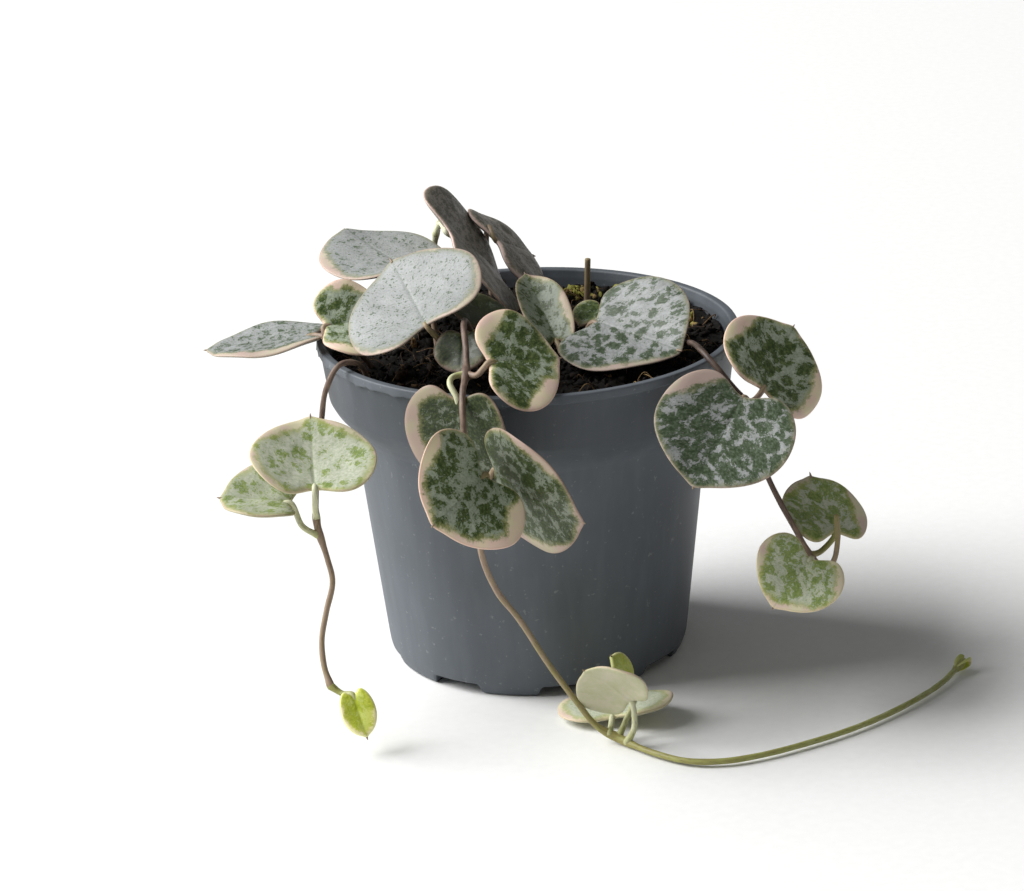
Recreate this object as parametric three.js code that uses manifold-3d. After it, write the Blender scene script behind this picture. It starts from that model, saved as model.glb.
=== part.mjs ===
// Variegated string of hearts (a trailing Ceropegia) growing in a small round nursery pot.
//
// Units are millimetres, +Z is up. Everything is built about the pot's axis with the pot's feet
// at z = 0; at the very end the whole plant is moved so that the origin lies under the middle of
// its footprint. -Y is the front. Three vines hang over the rim and the longest trails on the
// ground.
import * as THREE from 'three';
import { mergeVertices } from 'three/addons/utils/BufferGeometryUtils.js';
import Module from 'manifold-3d';

const wasm = await Module();
wasm.setup();

// ---- Driving dimensions -----------------------------------------------------------------------
const GAP = 0.3;                 // air left between two pieces that touch

const POT = {
  rimRadius: 30,                 // outside of the lip: a 6 cm pot
  height: 47.7,
  lipWidth: 1.2,
  lipDepth: 1.1,
  wall: 0.9,
  collarBottom: 39,              // height of the lower edge of the wide collar
  collarRadius: 28.6,            // outside of the collar at that edge
  bodyTop: 35,                   // where the tapered body begins below the collar
  bodyRadius: 25.4,
  cornerRadius: 21.7,            // outside of the body just above the rounded foot
  cornerHeight: 3.4,
  footRadius: 20.9,              // outside of the foot ring on the ground
  footWidth: 2.4,
  floorHeight: 1.8,              // underside of the raised floor
  floorThickness: 1.2,
  floorCorner: 0.6,              // how far the inside narrows between the corner and the floor
  segments: 40,
};
const FEET = { count: 8, notchAngle: 20, firstNotch: 10, notchHeight: 1.6, slope: 0.7, through: 2.9 };
const DRAIN = { radius: 2.4, ringRadius: 11.5, count: 6, depth: 4.8, sides: 12 };

const SOIL = { level: 44.2, backRise: 1.5, lump: 0.35, wallGap: 0.4, rings: 6, segments: 32 };

const BLADE = {
  thickness: 0.9,
  sides: 18,
  middle: 0.42,                  // the widest place, as a share of the length from the notch
  hub: 0.38,                     // the place that the rings of points close in on
  taper: 0.1,                    // how much narrower the half towards the tip gets
  crease: 0.08,                  // half width of the rounded fold along the midrib
  lobe: 0.22,                    // depth of the notch, as a share of the length
  tip: 0.036,                    // height of the pointed tip, as a share of the length
  notchWidth: 0.38,              // radians over which the notch opens
  tipWidth: 0.16,                // radians over which the tip rises
};
const BUD = {
  sides: 10,
  gapExtra: 0.1,                 // air beyond GAP between the vine and the bud
  profile: [[0, 0], [0.35, 0.03], [0.85, 0.3], [1, 0.5], [0.6, 0.8], [0, 1]],
};
const NEARLY_FLAT = 1e-4;         // degrees of bend per millimetre of a blade without any bend
const STALK = { radius: 0.45, sides: 6, steps: 4, inset: 1.0 };
const VINE = { sides: 8, spacing: 3.2 };

const COLOURS = {
  pot: 0x5d646b, soil: 0x2a1d14, brownStem: 0x6b5342, oliveStem: 0x8b8551,
  silver: 0xa9b3a6, green: 0x77866a, cream: 0xc9c79a, lime: 0xa8b04a,
};

// ---- The vines: points on the centre line, from the root to the growing tip ---------------------
const VINES = {
  vine_left: {
    radius: [0.4, 0.4], colour: 'brownStem',
    route: [[-21.2, -12.6, 39], [-22.2, -13.3, 44.6], [-23.6, -14.3, 48.2], [-26.2, -16, 48.8],
      [-28.2, -16.6, 45.6], [-29.1, -15.8, 41], [-29.8, -17.5, 35.5], [-30.2, -22.5, 31.5],
      [-30, -26.6, 29.2], [-28.8, -28.4, 25], [-28.2, -29.5, 22], [-29.2, -30.8, 18.2],
      [-30, -32, 14.4], [-29.8, -33.6, 11.2], [-29, -35, 8.8]],
  },
  vine_front: {
    radius: [0.44, 0.4], colour: 'oliveStem',
    route: [[-6.6, -8.5, 39], [-6.8, -9.6, 45], [-7.6, -12, 50.5], [-8.6, -15.2, 54.2], [-8.8, -19.2, 54.4],
      [-8.6, -23, 52.4], [-8.7, -27, 50.4], [-9.2, -31, 49.2], [-9.3, -33.4, 46.6], [-9, -34.8, 42.5],
      [-7.6, -36.8, 38], [-7.3, -37.6, 33.5], [-7.6, -37.8, 28.9], [-5.8, -37.4, 23], [-2.7, -37.1, 18.2],
      [1, -37.2, 11.6], [4.4, -37.5, 6.4], [7.2, -38, 2.6], [10, -38.6, 1], [14.2, -43.2, 0.75],
      [19.2, -46.9, 0.75], [24, -47.4, 0.75], [29.2, -45.9, 0.75], [35.6, -42.6, 0.75], [41.9, -38.5, 0.75],
      [47.4, -33.8, 0.75], [52.6, -28.2, 0.75], [56.2, -23.4, 0.8], [58.4, -19.8, 1.1]],
  },
  vine_right: {
    radius: [0.45, 0.38], colour: 'brownStem',
    route: [[18.5, 2, 39], [20, -2, 44.2], [21.2, -7, 46.8], [22.8, -13, 48.9], [24.3, -18.3, 48.9],
      [26.6, -20.8, 46.6], [29, -21.8, 43.2], [30.6, -22, 38], [32.2, -22.2, 32.4], [33.9, -23, 28.6],
      [35.7, -24, 25.2], [37.2, -25, 22.4], [38.2, -25.4, 20.6], [39.4, -26, 19.7], [40.8, -26, 20.5],
      [41.6, -25.3, 23.6], [41.5, -24.9, 26.9]],
  },
  vine_rear: {
    radius: [0.42, 0.4], colour: 'oliveStem',
    route: [[-11.5, 22, 39], [-12.2, 22.2, 46], [-13, 21.8, 51.6], [-12.9, 21, 55], [-12.1, 18.8, 58.6]],
  },
  vine_side: {
    radius: [0.4, 0.4], colour: 'brownStem',
    route: [[-21, -3, 39], [-22.4, -3.6, 44.4], [-25, -4.6, 47.7], [-27.3, -5.3, 49.1]],
  },
  cut_stub: {
    radius: [0.5, 0.42], colour: 'brownStem',
    route: [[8.7, 20.4, 39], [9, 20.2, 45], [9.3, 20, 51.6]],
  },
};

// ---- The leaves -------------------------------------------------------------------------------
// at: the notch, where the stalk meets the blade. turn: heading of the tip, 0 = +X and 90 = +Y.
// rise: how far the tip points above level. roll: turn about the midrib. curl: roll of the blade
// across (+ sides up). droop: bend along (+ tip down). fold: each half lifted about the midrib.
// stalk: points from the vine (or the soil) to the notch. from: the vine that the stalk leaves.
const LEAVES = {
  leaf_01: { at: [-30.2, -3, 49], turn: 175, rise: -10, roll: 0, width: 14, length: 15, curl: 0, droop: -5,
    fold: 5, from: 'vine_side', stalk: [[-27.2, -5.2, 49.1], [-28.7, -4.2, 49.2]], colour: 'silver' },
  leaf_02: { at: [-16.5, 7.5, 55], turn: 125, rise: 0, roll: 0, width: 19, length: 16, curl: -5, droop: -15,
    fold: 0, stalk: [[-12.8, 1, 39], [-13, 1.6, 46], [-14.2, 3.4, 52.4]], colour: 'silver' },
  leaf_03: { at: [-14, -16.5, 54.1], turn: 100, rise: 5, roll: 30, width: 21, length: 16, curl: -15,
    droop: -30, fold: 5, stalk: [[-9.4, -10.5, 39], [-9.6, -11.6, 45.6], [-11, -13.6, 49.2],
      [-12.7, -15.6, 52.2]], colour: 'silver' },
  leaf_04: { at: [-28.5, -6, 51.2], turn: 15, rise: 0, roll: -35, width: 14, length: 9, curl: 25, droop: -5,
    fold: 8, from: 'vine_side', stalk: [[-26.9, -5.9, 49], [-28.3, -6.6, 49.9]], colour: 'green' },
  leaf_05: { at: [-11, 8, 60], turn: 50, rise: -35, roll: -40, width: 23, length: 17, curl: -20,
    droop: 10, fold: 10, from: 'vine_rear',
    stalk: [[-12.7, 20.4, 56.2], [-12, 16, 59], [-11.5, 11.2, 60.2]],
    colour: 'green' },
  leaf_06: { at: [-4.1, 17.9, 55.6], turn: 61, rise: -26, roll: -41, width: 17, length: 12.5, curl: -37,
    droop: 0, fold: 2, stalk: [[-5, 25.5, 39], [-5, 25.8, 47], [-5.4, 24, 54], [-4.9, 20, 57]],
    colour: 'green' },
  leaf_07: { at: [4, -0.5, 45.9], turn: 110, rise: 30, roll: 5, width: 8.5, length: 13, curl: 5, droop: 0,
    fold: 30, stalk: [[5, -3, 39], [4.8, -2.6, 43.6], [4.4, -1.5, 45.4]], colour: 'green' },
  leaf_08: { at: [-5.5, -5.5, 49.9], turn: 110, rise: 20, roll: -20, width: 11, length: 9,
    curl: 0, droop: 0, fold: 5, stalk: [[-3.6, -8.4, 39], [-3.8, -8.4, 44.6], [-4.8, -6.9, 48.8]],
    colour: 'green' },
  leaf_09: { at: [-5.5, -28.6, 52.5], turn: 25, rise: -10, roll: -40, width: 16.5, length: 10, curl: -10,
    droop: -10, fold: 5, from: 'vine_front', stalk: [[-8.7, -27, 50.4], [-7.3, -28.2, 50.6],
      [-6.3, -28.8, 51.7]], colour: 'green' },
  leaf_10: { at: [-8.7, -16.4, 52.7], turn: -100, rise: -45, roll: -10, width: 8.5, length: 6, curl: 10,
    droop: 0, fold: 5, from: 'vine_front', stalk: [[-7.7, -12.4, 51.1], [-8.2, -14, 51.8]],
    colour: 'green' },
  leaf_11: { at: [9.5, -1.5, 48.8], turn: -45, rise: -5, roll: -25, width: 20.5, length: 16, curl: -10,
    droop: -5, fold: 15, stalk: [[8.2, 2.4, 39], [8.2, 2.2, 44.6], [8.7, 0.2, 47.6]], colour: 'silver' },
  leaf_12: { at: [11, 9, 47.5], turn: -135, rise: -15, roll: 0, width: 6.5, length: 5, curl: 5, droop: 5,
    fold: 20, stalk: [[12.4, 11, 39], [12.4, 11, 44.6], [11.9, 10.1, 46.8]], colour: 'green' },
  leaf_13: { at: [-10, -30.8, 48.3], turn: -80, rise: -92, roll: -40, width: 16.5, length: 13, curl: -5,
    droop: 5, fold: 5, from: 'vine_front', stalk: [[-8.7, -27, 50.4], [-10.4, -27.8, 50.4],
      [-10.9, -29.6, 50]], colour: 'green' },
  leaf_14: { at: [-6.5, -40, 40.6], turn: -125, rise: -15, roll: 55, width: 19, length: 12, curl: 20,
    droop: 5, fold: 10, from: 'vine_front', stalk: [[-7.5, -37, 37.2], [-6.6, -38.8, 38.2]],
    colour: 'green' },
  leaf_15: { at: [-5.2, -36.5, 40], turn: -50, rise: -15, roll: -105, width: 19, length: 16, curl: -5,
    droop: 10, fold: 5, from: 'vine_front', stalk: [[-7.5, -37, 37.2], [-6.3, -36.2, 38.2]],
    colour: 'green' },
  leaf_16: { at: [-30, -28, 35], turn: 95, rise: 15, roll: -5, width: 18, length: 12.5, curl: 5, droop: -35,
    fold: 10, from: 'vine_left', stalk: [[-30.1, -25.6, 29.9], [-30.1, -27.8, 31.9]], colour: 'cream' },
  leaf_17: { at: [-33.5, -26, 32.4], turn: 175, rise: 5, roll: 20, width: 12.5, length: 9.5, curl: 5,
    droop: 0, fold: 20, from: 'vine_left', stalk: [[-29.7, -27.3, 27.9], [-32, -27.4, 29.5]],
    colour: 'cream' },
  leaf_18: { at: [-26, -36.5, 8], turn: -60, rise: -55, roll: -20, width: 5, length: 6, curl: 0, droop: 0,
    fold: 10, from: 'vine_left', stalk: [[-29, -35, 8.8], [-27.4, -35.7, 7.9]], colour: 'lime' },
  leaf_19: { at: [32, -19, 43.7], turn: 75, rise: 15, roll: -45, width: 17, length: 13, curl: -15,
    droop: -25, fold: 5, from: 'vine_right', stalk: [[29, -21.8, 43.2], [30.6, -20.6, 42.8]],
    colour: 'green' },
  leaf_20: { at: [29, -24.5, 44.6], turn: -125, rise: -35, roll: 25, width: 20, length: 16, curl: 10,
    droop: -10, fold: 10, from: 'vine_right', stalk: [[29, -21.8, 43.2], [29.6, -23, 43.7]],
    colour: 'silver' },
  leaf_21: { at: [41.5, -22.5, 23.4], turn: 110, rise: 30, roll: -10, width: 13, length: 10, curl: -10,
    droop: -10, fold: 0, from: 'vine_right', stalk: [[37.8, -25.2, 21.4], [39.5, -23.6, 21.4]],
    colour: 'green' },
  leaf_22: { at: [37.7, -28, 22], turn: -130, rise: -25, roll: 35, width: 14, length: 9.5, curl: 10,
    droop: 5, fold: 20, from: 'vine_right',
    stalk: [[38.3, -25.4, 20.5], [37.9, -27.2, 20.4]], colour: 'cream' },
  leaf_23: { at: [12, -39.8, 6.9], turn: 170, rise: 50, roll: -60, width: 13, length: 8, curl: -50,
    droop: 35, fold: 0, from: 'vine_front',
    stalk: [[11.3, -40, 0.9], [12.3, -40.4, 3.2]], colour: 'cream' },
  leaf_24: { at: [9.5, -33.5, 1.8], turn: 80, rise: 0, roll: 8, width: 16.5, length: 9, curl: 0, droop: 0,
    fold: 5, from: 'vine_front', stalk: [[8.9, -38.3, 1.6], [9.2, -36, 1.5]], colour: 'cream' },
  leaf_25: { at: [12, -33, 7.2], turn: 215, rise: 55, roll: 60, width: 4.5, length: 5, curl: 0, droop: 0,
    fold: 5, from: 'vine_front', stalk: [[10.1, -38.7, 1], [11.2, -37, 2.6], [12.6, -34.6, 5.2]],
    colour: 'lime' },
};

const BUDS = {
  bud_trailing: { from: [58.4, -19.8, 1.1], to: [60.6, -16.4, 1.7], radius: 0.95, colour: 'lime' },
};

// ---- Small helpers ----------------------------------------------------------------------------
const radians = THREE.MathUtils.degToRad;
const vector = (p) => new THREE.Vector3(...p);
const lerp = THREE.MathUtils.lerp;

function geometryFrom(points, triangles) {
  const geometry = new THREE.BufferGeometry();
  const flat = points.flatMap((point) => point.toArray());
  geometry.setAttribute('position', new THREE.Float32BufferAttribute(flat, 3));
  geometry.setIndex(triangles);
  return geometry;
}

function toSolid(geometry) {
  geometry.deleteAttribute('normal');
  geometry.deleteAttribute('uv');
  const merged = mergeVertices(geometry, 1e-4);
  return new wasm.Manifold(new wasm.Mesh({
    numProp: 3,
    vertProperties: Float32Array.from(merged.attributes.position.array),
    triVerts: Uint32Array.from(merged.index.array),
  }));
}

function fromSolid(solid) {
  const mesh = solid.getMesh();
  const geometry = new THREE.BufferGeometry();
  geometry.setAttribute('position', new THREE.BufferAttribute(mesh.vertProperties, 3));
  geometry.setIndex(new THREE.BufferAttribute(mesh.triVerts, 1));
  return geometry;
}

// A closed tube along a smooth curve. radiusAt gives the radius at 0..1 along it.
function tube(route, radiusAt, sides, steps) {
  const curve = new THREE.CatmullRomCurve3(route.map(vector), false, 'centripetal');
  const frames = curve.computeFrenetFrames(steps, false);
  const points = [];
  for (let i = 0; i <= steps; i += 1) {
    const centre = curve.getPointAt(i / steps);
    for (let j = 0; j < sides; j += 1) {
      const angle = (2 * Math.PI * j) / sides;
      const out = frames.normals[i].clone().multiplyScalar(Math.cos(angle))
        .addScaledVector(frames.binormals[i], Math.sin(angle));
      points.push(centre.clone().addScaledVector(out, radiusAt(i / steps)));
    }
  }
  const start = points.push(curve.getPointAt(0)) - 1;
  const end = points.push(curve.getPointAt(1)) - 1;
  const triangles = [];
  for (let j = 0; j < sides; j += 1) {
    const next = (j + 1) % sides;
    for (let i = 0; i < steps; i += 1) {
      const a = i * sides + j;
      const b = i * sides + next;
      triangles.push(a, b, b + sides, a, b + sides, a + sides);
    }
    triangles.push(start, next, j);
    triangles.push(end, steps * sides + j, steps * sides + next);
  }
  return geometryFrom(points, triangles);
}

function lathe(profile, segments) {
  const geometry = new THREE.LatheGeometry(profile.map(([r, z]) => new THREE.Vector2(r, z)), segments);
  return geometry.rotateX(Math.PI / 2);
}

// ---- The pot ----------------------------------------------------------------------------------
// Radius of the inside of the pot at a height, for the soil to fill it.
function potWall(height) {
  const p = POT;
  const between = (low, high) => (height - low) / (high - low);
  if (height > p.collarBottom) {
    return lerp(p.collarRadius, p.rimRadius, between(p.collarBottom, p.height)) - p.lipWidth;
  }
  if (height > p.bodyTop) {
    return lerp(p.bodyRadius, p.collarRadius, between(p.bodyTop, p.collarBottom)) - p.lipWidth;
  }
  return lerp(p.cornerRadius, p.bodyRadius, between(p.cornerHeight, p.bodyTop)) - p.wall;
}

function makePot() {
  const p = POT;
  const footInside = p.footRadius - p.footWidth;
  const floorTop = p.floorHeight + p.floorThickness;
  const outside = [
    [0, p.floorHeight], [footInside - 1, p.floorHeight], [footInside, 0], [p.footRadius - 0.4, 0],
    [p.footRadius, 0.4], [p.cornerRadius - 0.2, 1.9], [p.cornerRadius, p.cornerHeight],
    [p.bodyRadius, p.bodyTop], [p.bodyRadius + 0.7, p.bodyTop + 1.2],
    [p.collarRadius - 0.8, p.collarBottom - 1], [p.collarRadius, p.collarBottom + 0.4],
    [p.rimRadius - 0.35, p.height - p.lipDepth - 0.2], [p.rimRadius, p.height - p.lipDepth],
    [p.rimRadius, p.height - 0.2],
  ];
  const lip = [[p.rimRadius - 0.2, p.height], [p.rimRadius - p.lipWidth + 0.2, p.height]];
  const inside = [
    [potWall(p.height), p.height - 0.2], [potWall(p.collarBottom), p.collarBottom],
    [p.bodyRadius - p.wall, p.bodyTop], [p.cornerRadius - p.wall, p.cornerHeight],
    [p.cornerRadius - p.wall - p.floorCorner, floorTop], [0, floorTop],
  ];
  let pot = toSolid(lathe([...outside, ...lip, ...inside], p.segments));
  for (let i = 0; i < FEET.count; i += 1) {
    pot = pot.subtract(toSolid(footNotch(FEET.firstNotch + (360 / FEET.count) * i)));
  }
  for (let i = 0; i <= DRAIN.count; i += 1) {
    const out = i < DRAIN.count ? DRAIN.ringRadius : 0;
    const angle = (2 * Math.PI * i) / DRAIN.count;
    const hole = new THREE.CylinderGeometry(DRAIN.radius, DRAIN.radius, DRAIN.depth, DRAIN.sides)
      .rotateX(Math.PI / 2)
      .translate(out * Math.cos(angle), out * Math.sin(angle), floorTop);
    pot = pot.subtract(toSolid(hole));
  }
  return fromSolid(pot);
}

// A wedge under the foot ring whose sides slope outwards as they go down. It passes right through
// the ring and starts below the ground, so that it cuts cleanly.
function footNotch(heading) {
  const half = POT.footRadius * Math.sin(radians(FEET.notchAngle / 2));
  const below = -1;
  const outline = new THREE.Shape([
    new THREE.Vector2(-half - FEET.slope, below), new THREE.Vector2(half + FEET.slope, below),
    new THREE.Vector2(half, FEET.notchHeight), new THREE.Vector2(-half, FEET.notchHeight),
  ]);
  const inner = POT.footRadius - POT.footWidth - FEET.through;
  const depth = POT.footWidth + 2 * FEET.through;
  return new THREE.ExtrudeGeometry(outline, { depth, bevelEnabled: false })
    .rotateX(Math.PI / 2)
    .translate(0, -inner, 0)
    .rotateZ(radians(heading));
}

// ---- The soil ---------------------------------------------------------------------------------
function soilHeight(x, y) {
  const out = Math.hypot(x, y) / POT.rimRadius;
  const rear = THREE.MathUtils.clamp(0.35 + (0.6 * y + 0.45 * x) / POT.rimRadius, 0, 1);
  const lumps = Math.sin(0.55 * x + 1.3) * Math.cos(0.48 * y - 0.4) + 0.6 * Math.sin(0.9 * x - 0.7 * y);
  return SOIL.level + SOIL.backRise * out * out * rear + SOIL.lump * lumps;
}

function makeSoil(planted) {
  const floor = POT.floorHeight + POT.floorThickness + GAP;
  const levels = [floor, POT.cornerHeight + GAP, POT.bodyTop, POT.collarBottom];
  const points = [new THREE.Vector3(0, 0, floor)];
  const ring = (radius, heightAt) => {
    for (let j = 0; j < SOIL.segments; j += 1) {
      const angle = (2 * Math.PI * j) / SOIL.segments;
      const x = radius * Math.cos(angle);
      const y = radius * Math.sin(angle);
      points.push(new THREE.Vector3(x, y, heightAt(x, y)));
    }
  };
  for (const level of levels) {
    const corner = level === floor ? POT.floorCorner : 0;
    ring(potWall(Math.max(level, POT.cornerHeight)) - SOIL.wallGap - corner, () => level);
  }
  const edge = potWall(SOIL.level) - SOIL.wallGap;
  for (let i = SOIL.rings; i > 0; i -= 1) {
    ring((edge * i) / SOIL.rings, soilHeight);
  }
  const top = points.push(new THREE.Vector3(0, 0, soilHeight(0, 0))) - 1;
  const rows = levels.length + SOIL.rings;
  const triangles = [];
  for (let j = 0; j < SOIL.segments; j += 1) {
    const next = (j + 1) % SOIL.segments;
    triangles.push(0, 1 + next, 1 + j);
    for (let i = 0; i < rows - 1; i += 1) {
      const a = 1 + i * SOIL.segments + j;
      const b = 1 + i * SOIL.segments + next;
      triangles.push(a, b, b + SOIL.segments, a, b + SOIL.segments, a + SOIL.segments);
    }
    triangles.push(top, 1 + (rows - 1) * SOIL.segments + j, 1 + (rows - 1) * SOIL.segments + next);
  }
  let soil = toSolid(geometryFrom(points, triangles));
  for (const socket of planted) {
    soil = soil.subtract(toSolid(socket));
  }
  return fromSolid(soil);
}

// ---- Vines, buds and leaves ---------------------------------------------------------------------
// A route with both of its ends drawn out by a little, for the clearance around a tube.
function drawnOut(route, extra) {
  const points = route.map(vector);
  const [first, second] = points;
  const [beforeLast, last] = points.slice(-2);
  const start = first.clone().add(first.clone().sub(second).setLength(extra));
  const end = last.clone().add(last.clone().sub(beforeLast).setLength(extra));
  return [start, ...points.slice(1, -1), end].map((point) => point.toArray());
}

function vineTube(vine, extra = 0) {
  const length = new THREE.CatmullRomCurve3(vine.route.map(vector), false, 'centripetal').getLength();
  const steps = Math.max(4, Math.round(length / VINE.spacing));
  const route = drawnOut(vine.route, extra);
  return tube(route, (t) => lerp(...vine.radius, t) + extra, VINE.sides, steps);
}

// A pointed oval bud that sits just beyond the end of its vine.
function makeBud(bud) {
  const from = vector(bud.from);
  const along = vector(bud.to).sub(from);
  const length = along.length();
  along.normalize();
  const clear = GAP + BUD.gapExtra;
  const profile = BUD.profile.map(([out, up]) => [out * bud.radius, clear + up * length]);
  const geometry = lathe(profile, BUD.sides);
  const turn = new THREE.Quaternion().setFromUnitVectors(new THREE.Vector3(0, 0, 1), along);
  return geometry.applyQuaternion(turn).translate(from.x, from.y, from.z);
}

// The heart outline: angle 0 is the tip and 180 the notch. Returns [across, along].
function heartOutline(leaf, angle) {
  const { width, length } = leaf;
  const middle = BLADE.middle * length;
  const s = Math.sin(angle);
  const c = Math.cos(angle);
  const fromNotch = Math.atan2(Math.sin(angle - Math.PI), Math.cos(angle - Math.PI)) / BLADE.notchWidth;
  const fromTip = Math.atan2(s, c) / BLADE.tipWidth;
  const reach = c > 0 ? length - middle : middle + BLADE.lobe * length;
  const notch = BLADE.lobe * length * Math.exp(-fromNotch * fromNotch);
  const tip = BLADE.tip * length * Math.exp(-fromTip * fromTip);
  const taper = 1 - BLADE.taper * Math.max(c, 0) ** 2;
  return [(width / 2) * s * taper, middle + reach * c + notch + tip];
}

// Wraps a distance and its lift around a circle that turns by so many degrees per millimetre.
function wrap(distance, lift, degreesPerMillimetre) {
  const rate = radians(degreesPerMillimetre || NEARLY_FLAT);
  const angle = rate * distance;
  return [(1 / rate - lift) * Math.sin(angle), (1 - Math.cos(angle)) / rate + lift * Math.cos(angle)];
}

// Bends a flat point (across, along, lift) of the blade into its folded, rolled and drooping shape.
function bend(leaf, across, along, lift) {
  const crease = BLADE.crease * leaf.width;
  let x = across * Math.cos(radians(leaf.fold));
  let y = along;
  let z = lift + Math.tan(radians(leaf.fold)) * (Math.hypot(across, crease) - crease);
  [x, z] = wrap(x, z, leaf.curl / leaf.width);
  [y, z] = wrap(y, z, -leaf.droop / leaf.length);
  return new THREE.Vector3(x, y, z);
}

// The blade's own axes: right, tip and upper normal, with its notch as the origin.
function leafMatrix(leaf) {
  const turn = radians(leaf.turn);
  const rise = radians(leaf.rise);
  const level = new THREE.Vector3(Math.cos(turn), Math.sin(turn), 0);
  const tip = level.multiplyScalar(Math.cos(rise)).setZ(Math.sin(rise));
  const right = new THREE.Vector3(Math.sin(turn), -Math.cos(turn), 0);
  right.applyAxisAngle(tip, -radians(leaf.roll));
  const up = new THREE.Vector3().crossVectors(right, tip);
  return new THREE.Matrix4().makeBasis(right, tip, up).setPosition(...leaf.at);
}

function makeBlade(leaf) {
  const half = BLADE.thickness / 2;
  const centre = [0, BLADE.hub * leaf.length];
  const rings = [[0.5, 1], [0.9, 0.92], [1, 0]];     // share of the way out, share of the thickness
  const points = [];
  const matrix = leafMatrix(leaf);
  const place = (across, along, lift) => {
    points.push(bend(leaf, across, along, lift).applyMatrix4(matrix));
    return points.length - 1;
  };
  const hub = { up: place(...centre, half), down: place(...centre, -half) };
  const rows = rings.map(([out, full]) => {
    const row = { up: [], down: [] };
    for (let j = 0; j < BLADE.sides; j += 1) {
      const edge = heartOutline(leaf, (2 * Math.PI * j) / BLADE.sides);
      const across = lerp(centre[0], edge[0], out);
      const along = lerp(centre[1], edge[1], out);
      row.up.push(place(across, along, half * full));
      row.down.push(full > 0 ? place(across, along, -half * full) : row.up[j]);
    }
    return row;
  });
  const triangles = [];
  for (let j = 0; j < BLADE.sides; j += 1) {
    const next = (j + 1) % BLADE.sides;
    triangles.push(hub.up, rows[0].up[next], rows[0].up[j]);
    triangles.push(hub.down, rows[0].down[j], rows[0].down[next]);
    for (let i = 0; i < rows.length - 1; i += 1) {
      const { up, down } = rows[i];
      const { up: outUp, down: outDown } = rows[i + 1];
      triangles.push(up[j], up[next], outUp[next], up[j], outUp[next], outUp[j]);
      triangles.push(down[j], outDown[j], outDown[next], down[j], outDown[next], down[next]);
    }
  }
  return geometryFrom(points, triangles);
}

function stalkTube(leaf, extra = 0) {
  const inside = bend(leaf, 0, STALK.inset, 0).applyMatrix4(leafMatrix(leaf));
  const route = drawnOut([...leaf.stalk, leaf.at, inside.toArray()], extra);
  return tube(route, () => STALK.radius + extra, STALK.sides, STALK.steps + leaf.stalk.length);
}

// Blade and stalk grow as one piece. Where a stalk leaves a vine it is cut back to a thin gap.
function makeLeaf(leaf) {
  let solid = toSolid(makeBlade(leaf)).add(toSolid(stalkTube(leaf)));
  if (leaf.from) {
    solid = solid.subtract(toSolid(vineTube(VINES[leaf.from], GAP)));
  }
  return fromSolid(solid);
}

// ---- Assembly ---------------------------------------------------------------------------------
const plant = new THREE.Group();

function add(name, geometry, colour, roughness) {
  const material = new THREE.MeshStandardMaterial({ color: COLOURS[colour], roughness, metalness: 0 });
  const mesh = new THREE.Mesh(geometry, material);
  mesh.name = name;
  plant.add(mesh);
}

const plantedVines = ['vine_left', 'vine_front', 'vine_right', 'vine_rear', 'vine_side', 'cut_stub'];
const plantedLeaves = Object.values(LEAVES).filter((leaf) => !leaf.from);
const sockets = [
  ...plantedVines.map((name) => vineTube(VINES[name], GAP)),
  ...plantedLeaves.map((leaf) => stalkTube(leaf, GAP)),
];

add('pot', makePot(), 'pot', 0.6);
add('potting_soil', makeSoil(sockets), 'soil', 0.95);
for (const [name, vine] of Object.entries(VINES)) {
  add(name, vineTube(vine), vine.colour, 0.6);
}
for (const [name, leaf] of Object.entries(LEAVES)) {
  add(name, makeLeaf(leaf), leaf.colour, 0.5);
}
for (const [name, bud] of Object.entries(BUDS)) {
  add(name, makeBud(bud), bud.colour, 0.5);
}

const middle = new THREE.Box3().setFromObject(plant, true).getCenter(new THREE.Vector3());
plant.position.set(-middle.x, -middle.y, 0);

export default plant;
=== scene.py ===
"""A variegated string of hearts growing in a small round nursery pot.

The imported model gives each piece's place. Every node is replaced here by a finer surface that is worked
out from the same few sizes: the blades and their stalks, the trailing stems, the peat and the pot.
Lengths below are in millimetres about the pot's own axis, and become metres where a mesh is made.
"""

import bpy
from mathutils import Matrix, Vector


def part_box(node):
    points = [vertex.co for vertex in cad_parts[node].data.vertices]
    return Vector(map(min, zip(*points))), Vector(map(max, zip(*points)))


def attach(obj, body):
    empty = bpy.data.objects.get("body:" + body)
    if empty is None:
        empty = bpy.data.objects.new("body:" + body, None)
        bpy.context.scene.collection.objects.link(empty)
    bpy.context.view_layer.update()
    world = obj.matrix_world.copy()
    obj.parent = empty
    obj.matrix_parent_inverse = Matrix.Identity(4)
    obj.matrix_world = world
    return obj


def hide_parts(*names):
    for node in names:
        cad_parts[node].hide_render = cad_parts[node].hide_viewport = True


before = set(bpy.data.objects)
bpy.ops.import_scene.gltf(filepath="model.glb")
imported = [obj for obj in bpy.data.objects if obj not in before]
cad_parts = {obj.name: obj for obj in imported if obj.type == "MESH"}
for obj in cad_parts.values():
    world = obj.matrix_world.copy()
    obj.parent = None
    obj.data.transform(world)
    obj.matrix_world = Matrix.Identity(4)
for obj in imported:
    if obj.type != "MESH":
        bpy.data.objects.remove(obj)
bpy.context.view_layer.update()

import math

import bpy
import numpy as np
from mathutils import Matrix, Vector

MM = 0.001
POT_BOX = np.array([list(corner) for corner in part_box("pot")])
POT_AXIS = np.array([*POT_BOX[:, :2].mean(axis=0), 0.0])       # metres, in the frame
SEED = 63

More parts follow.
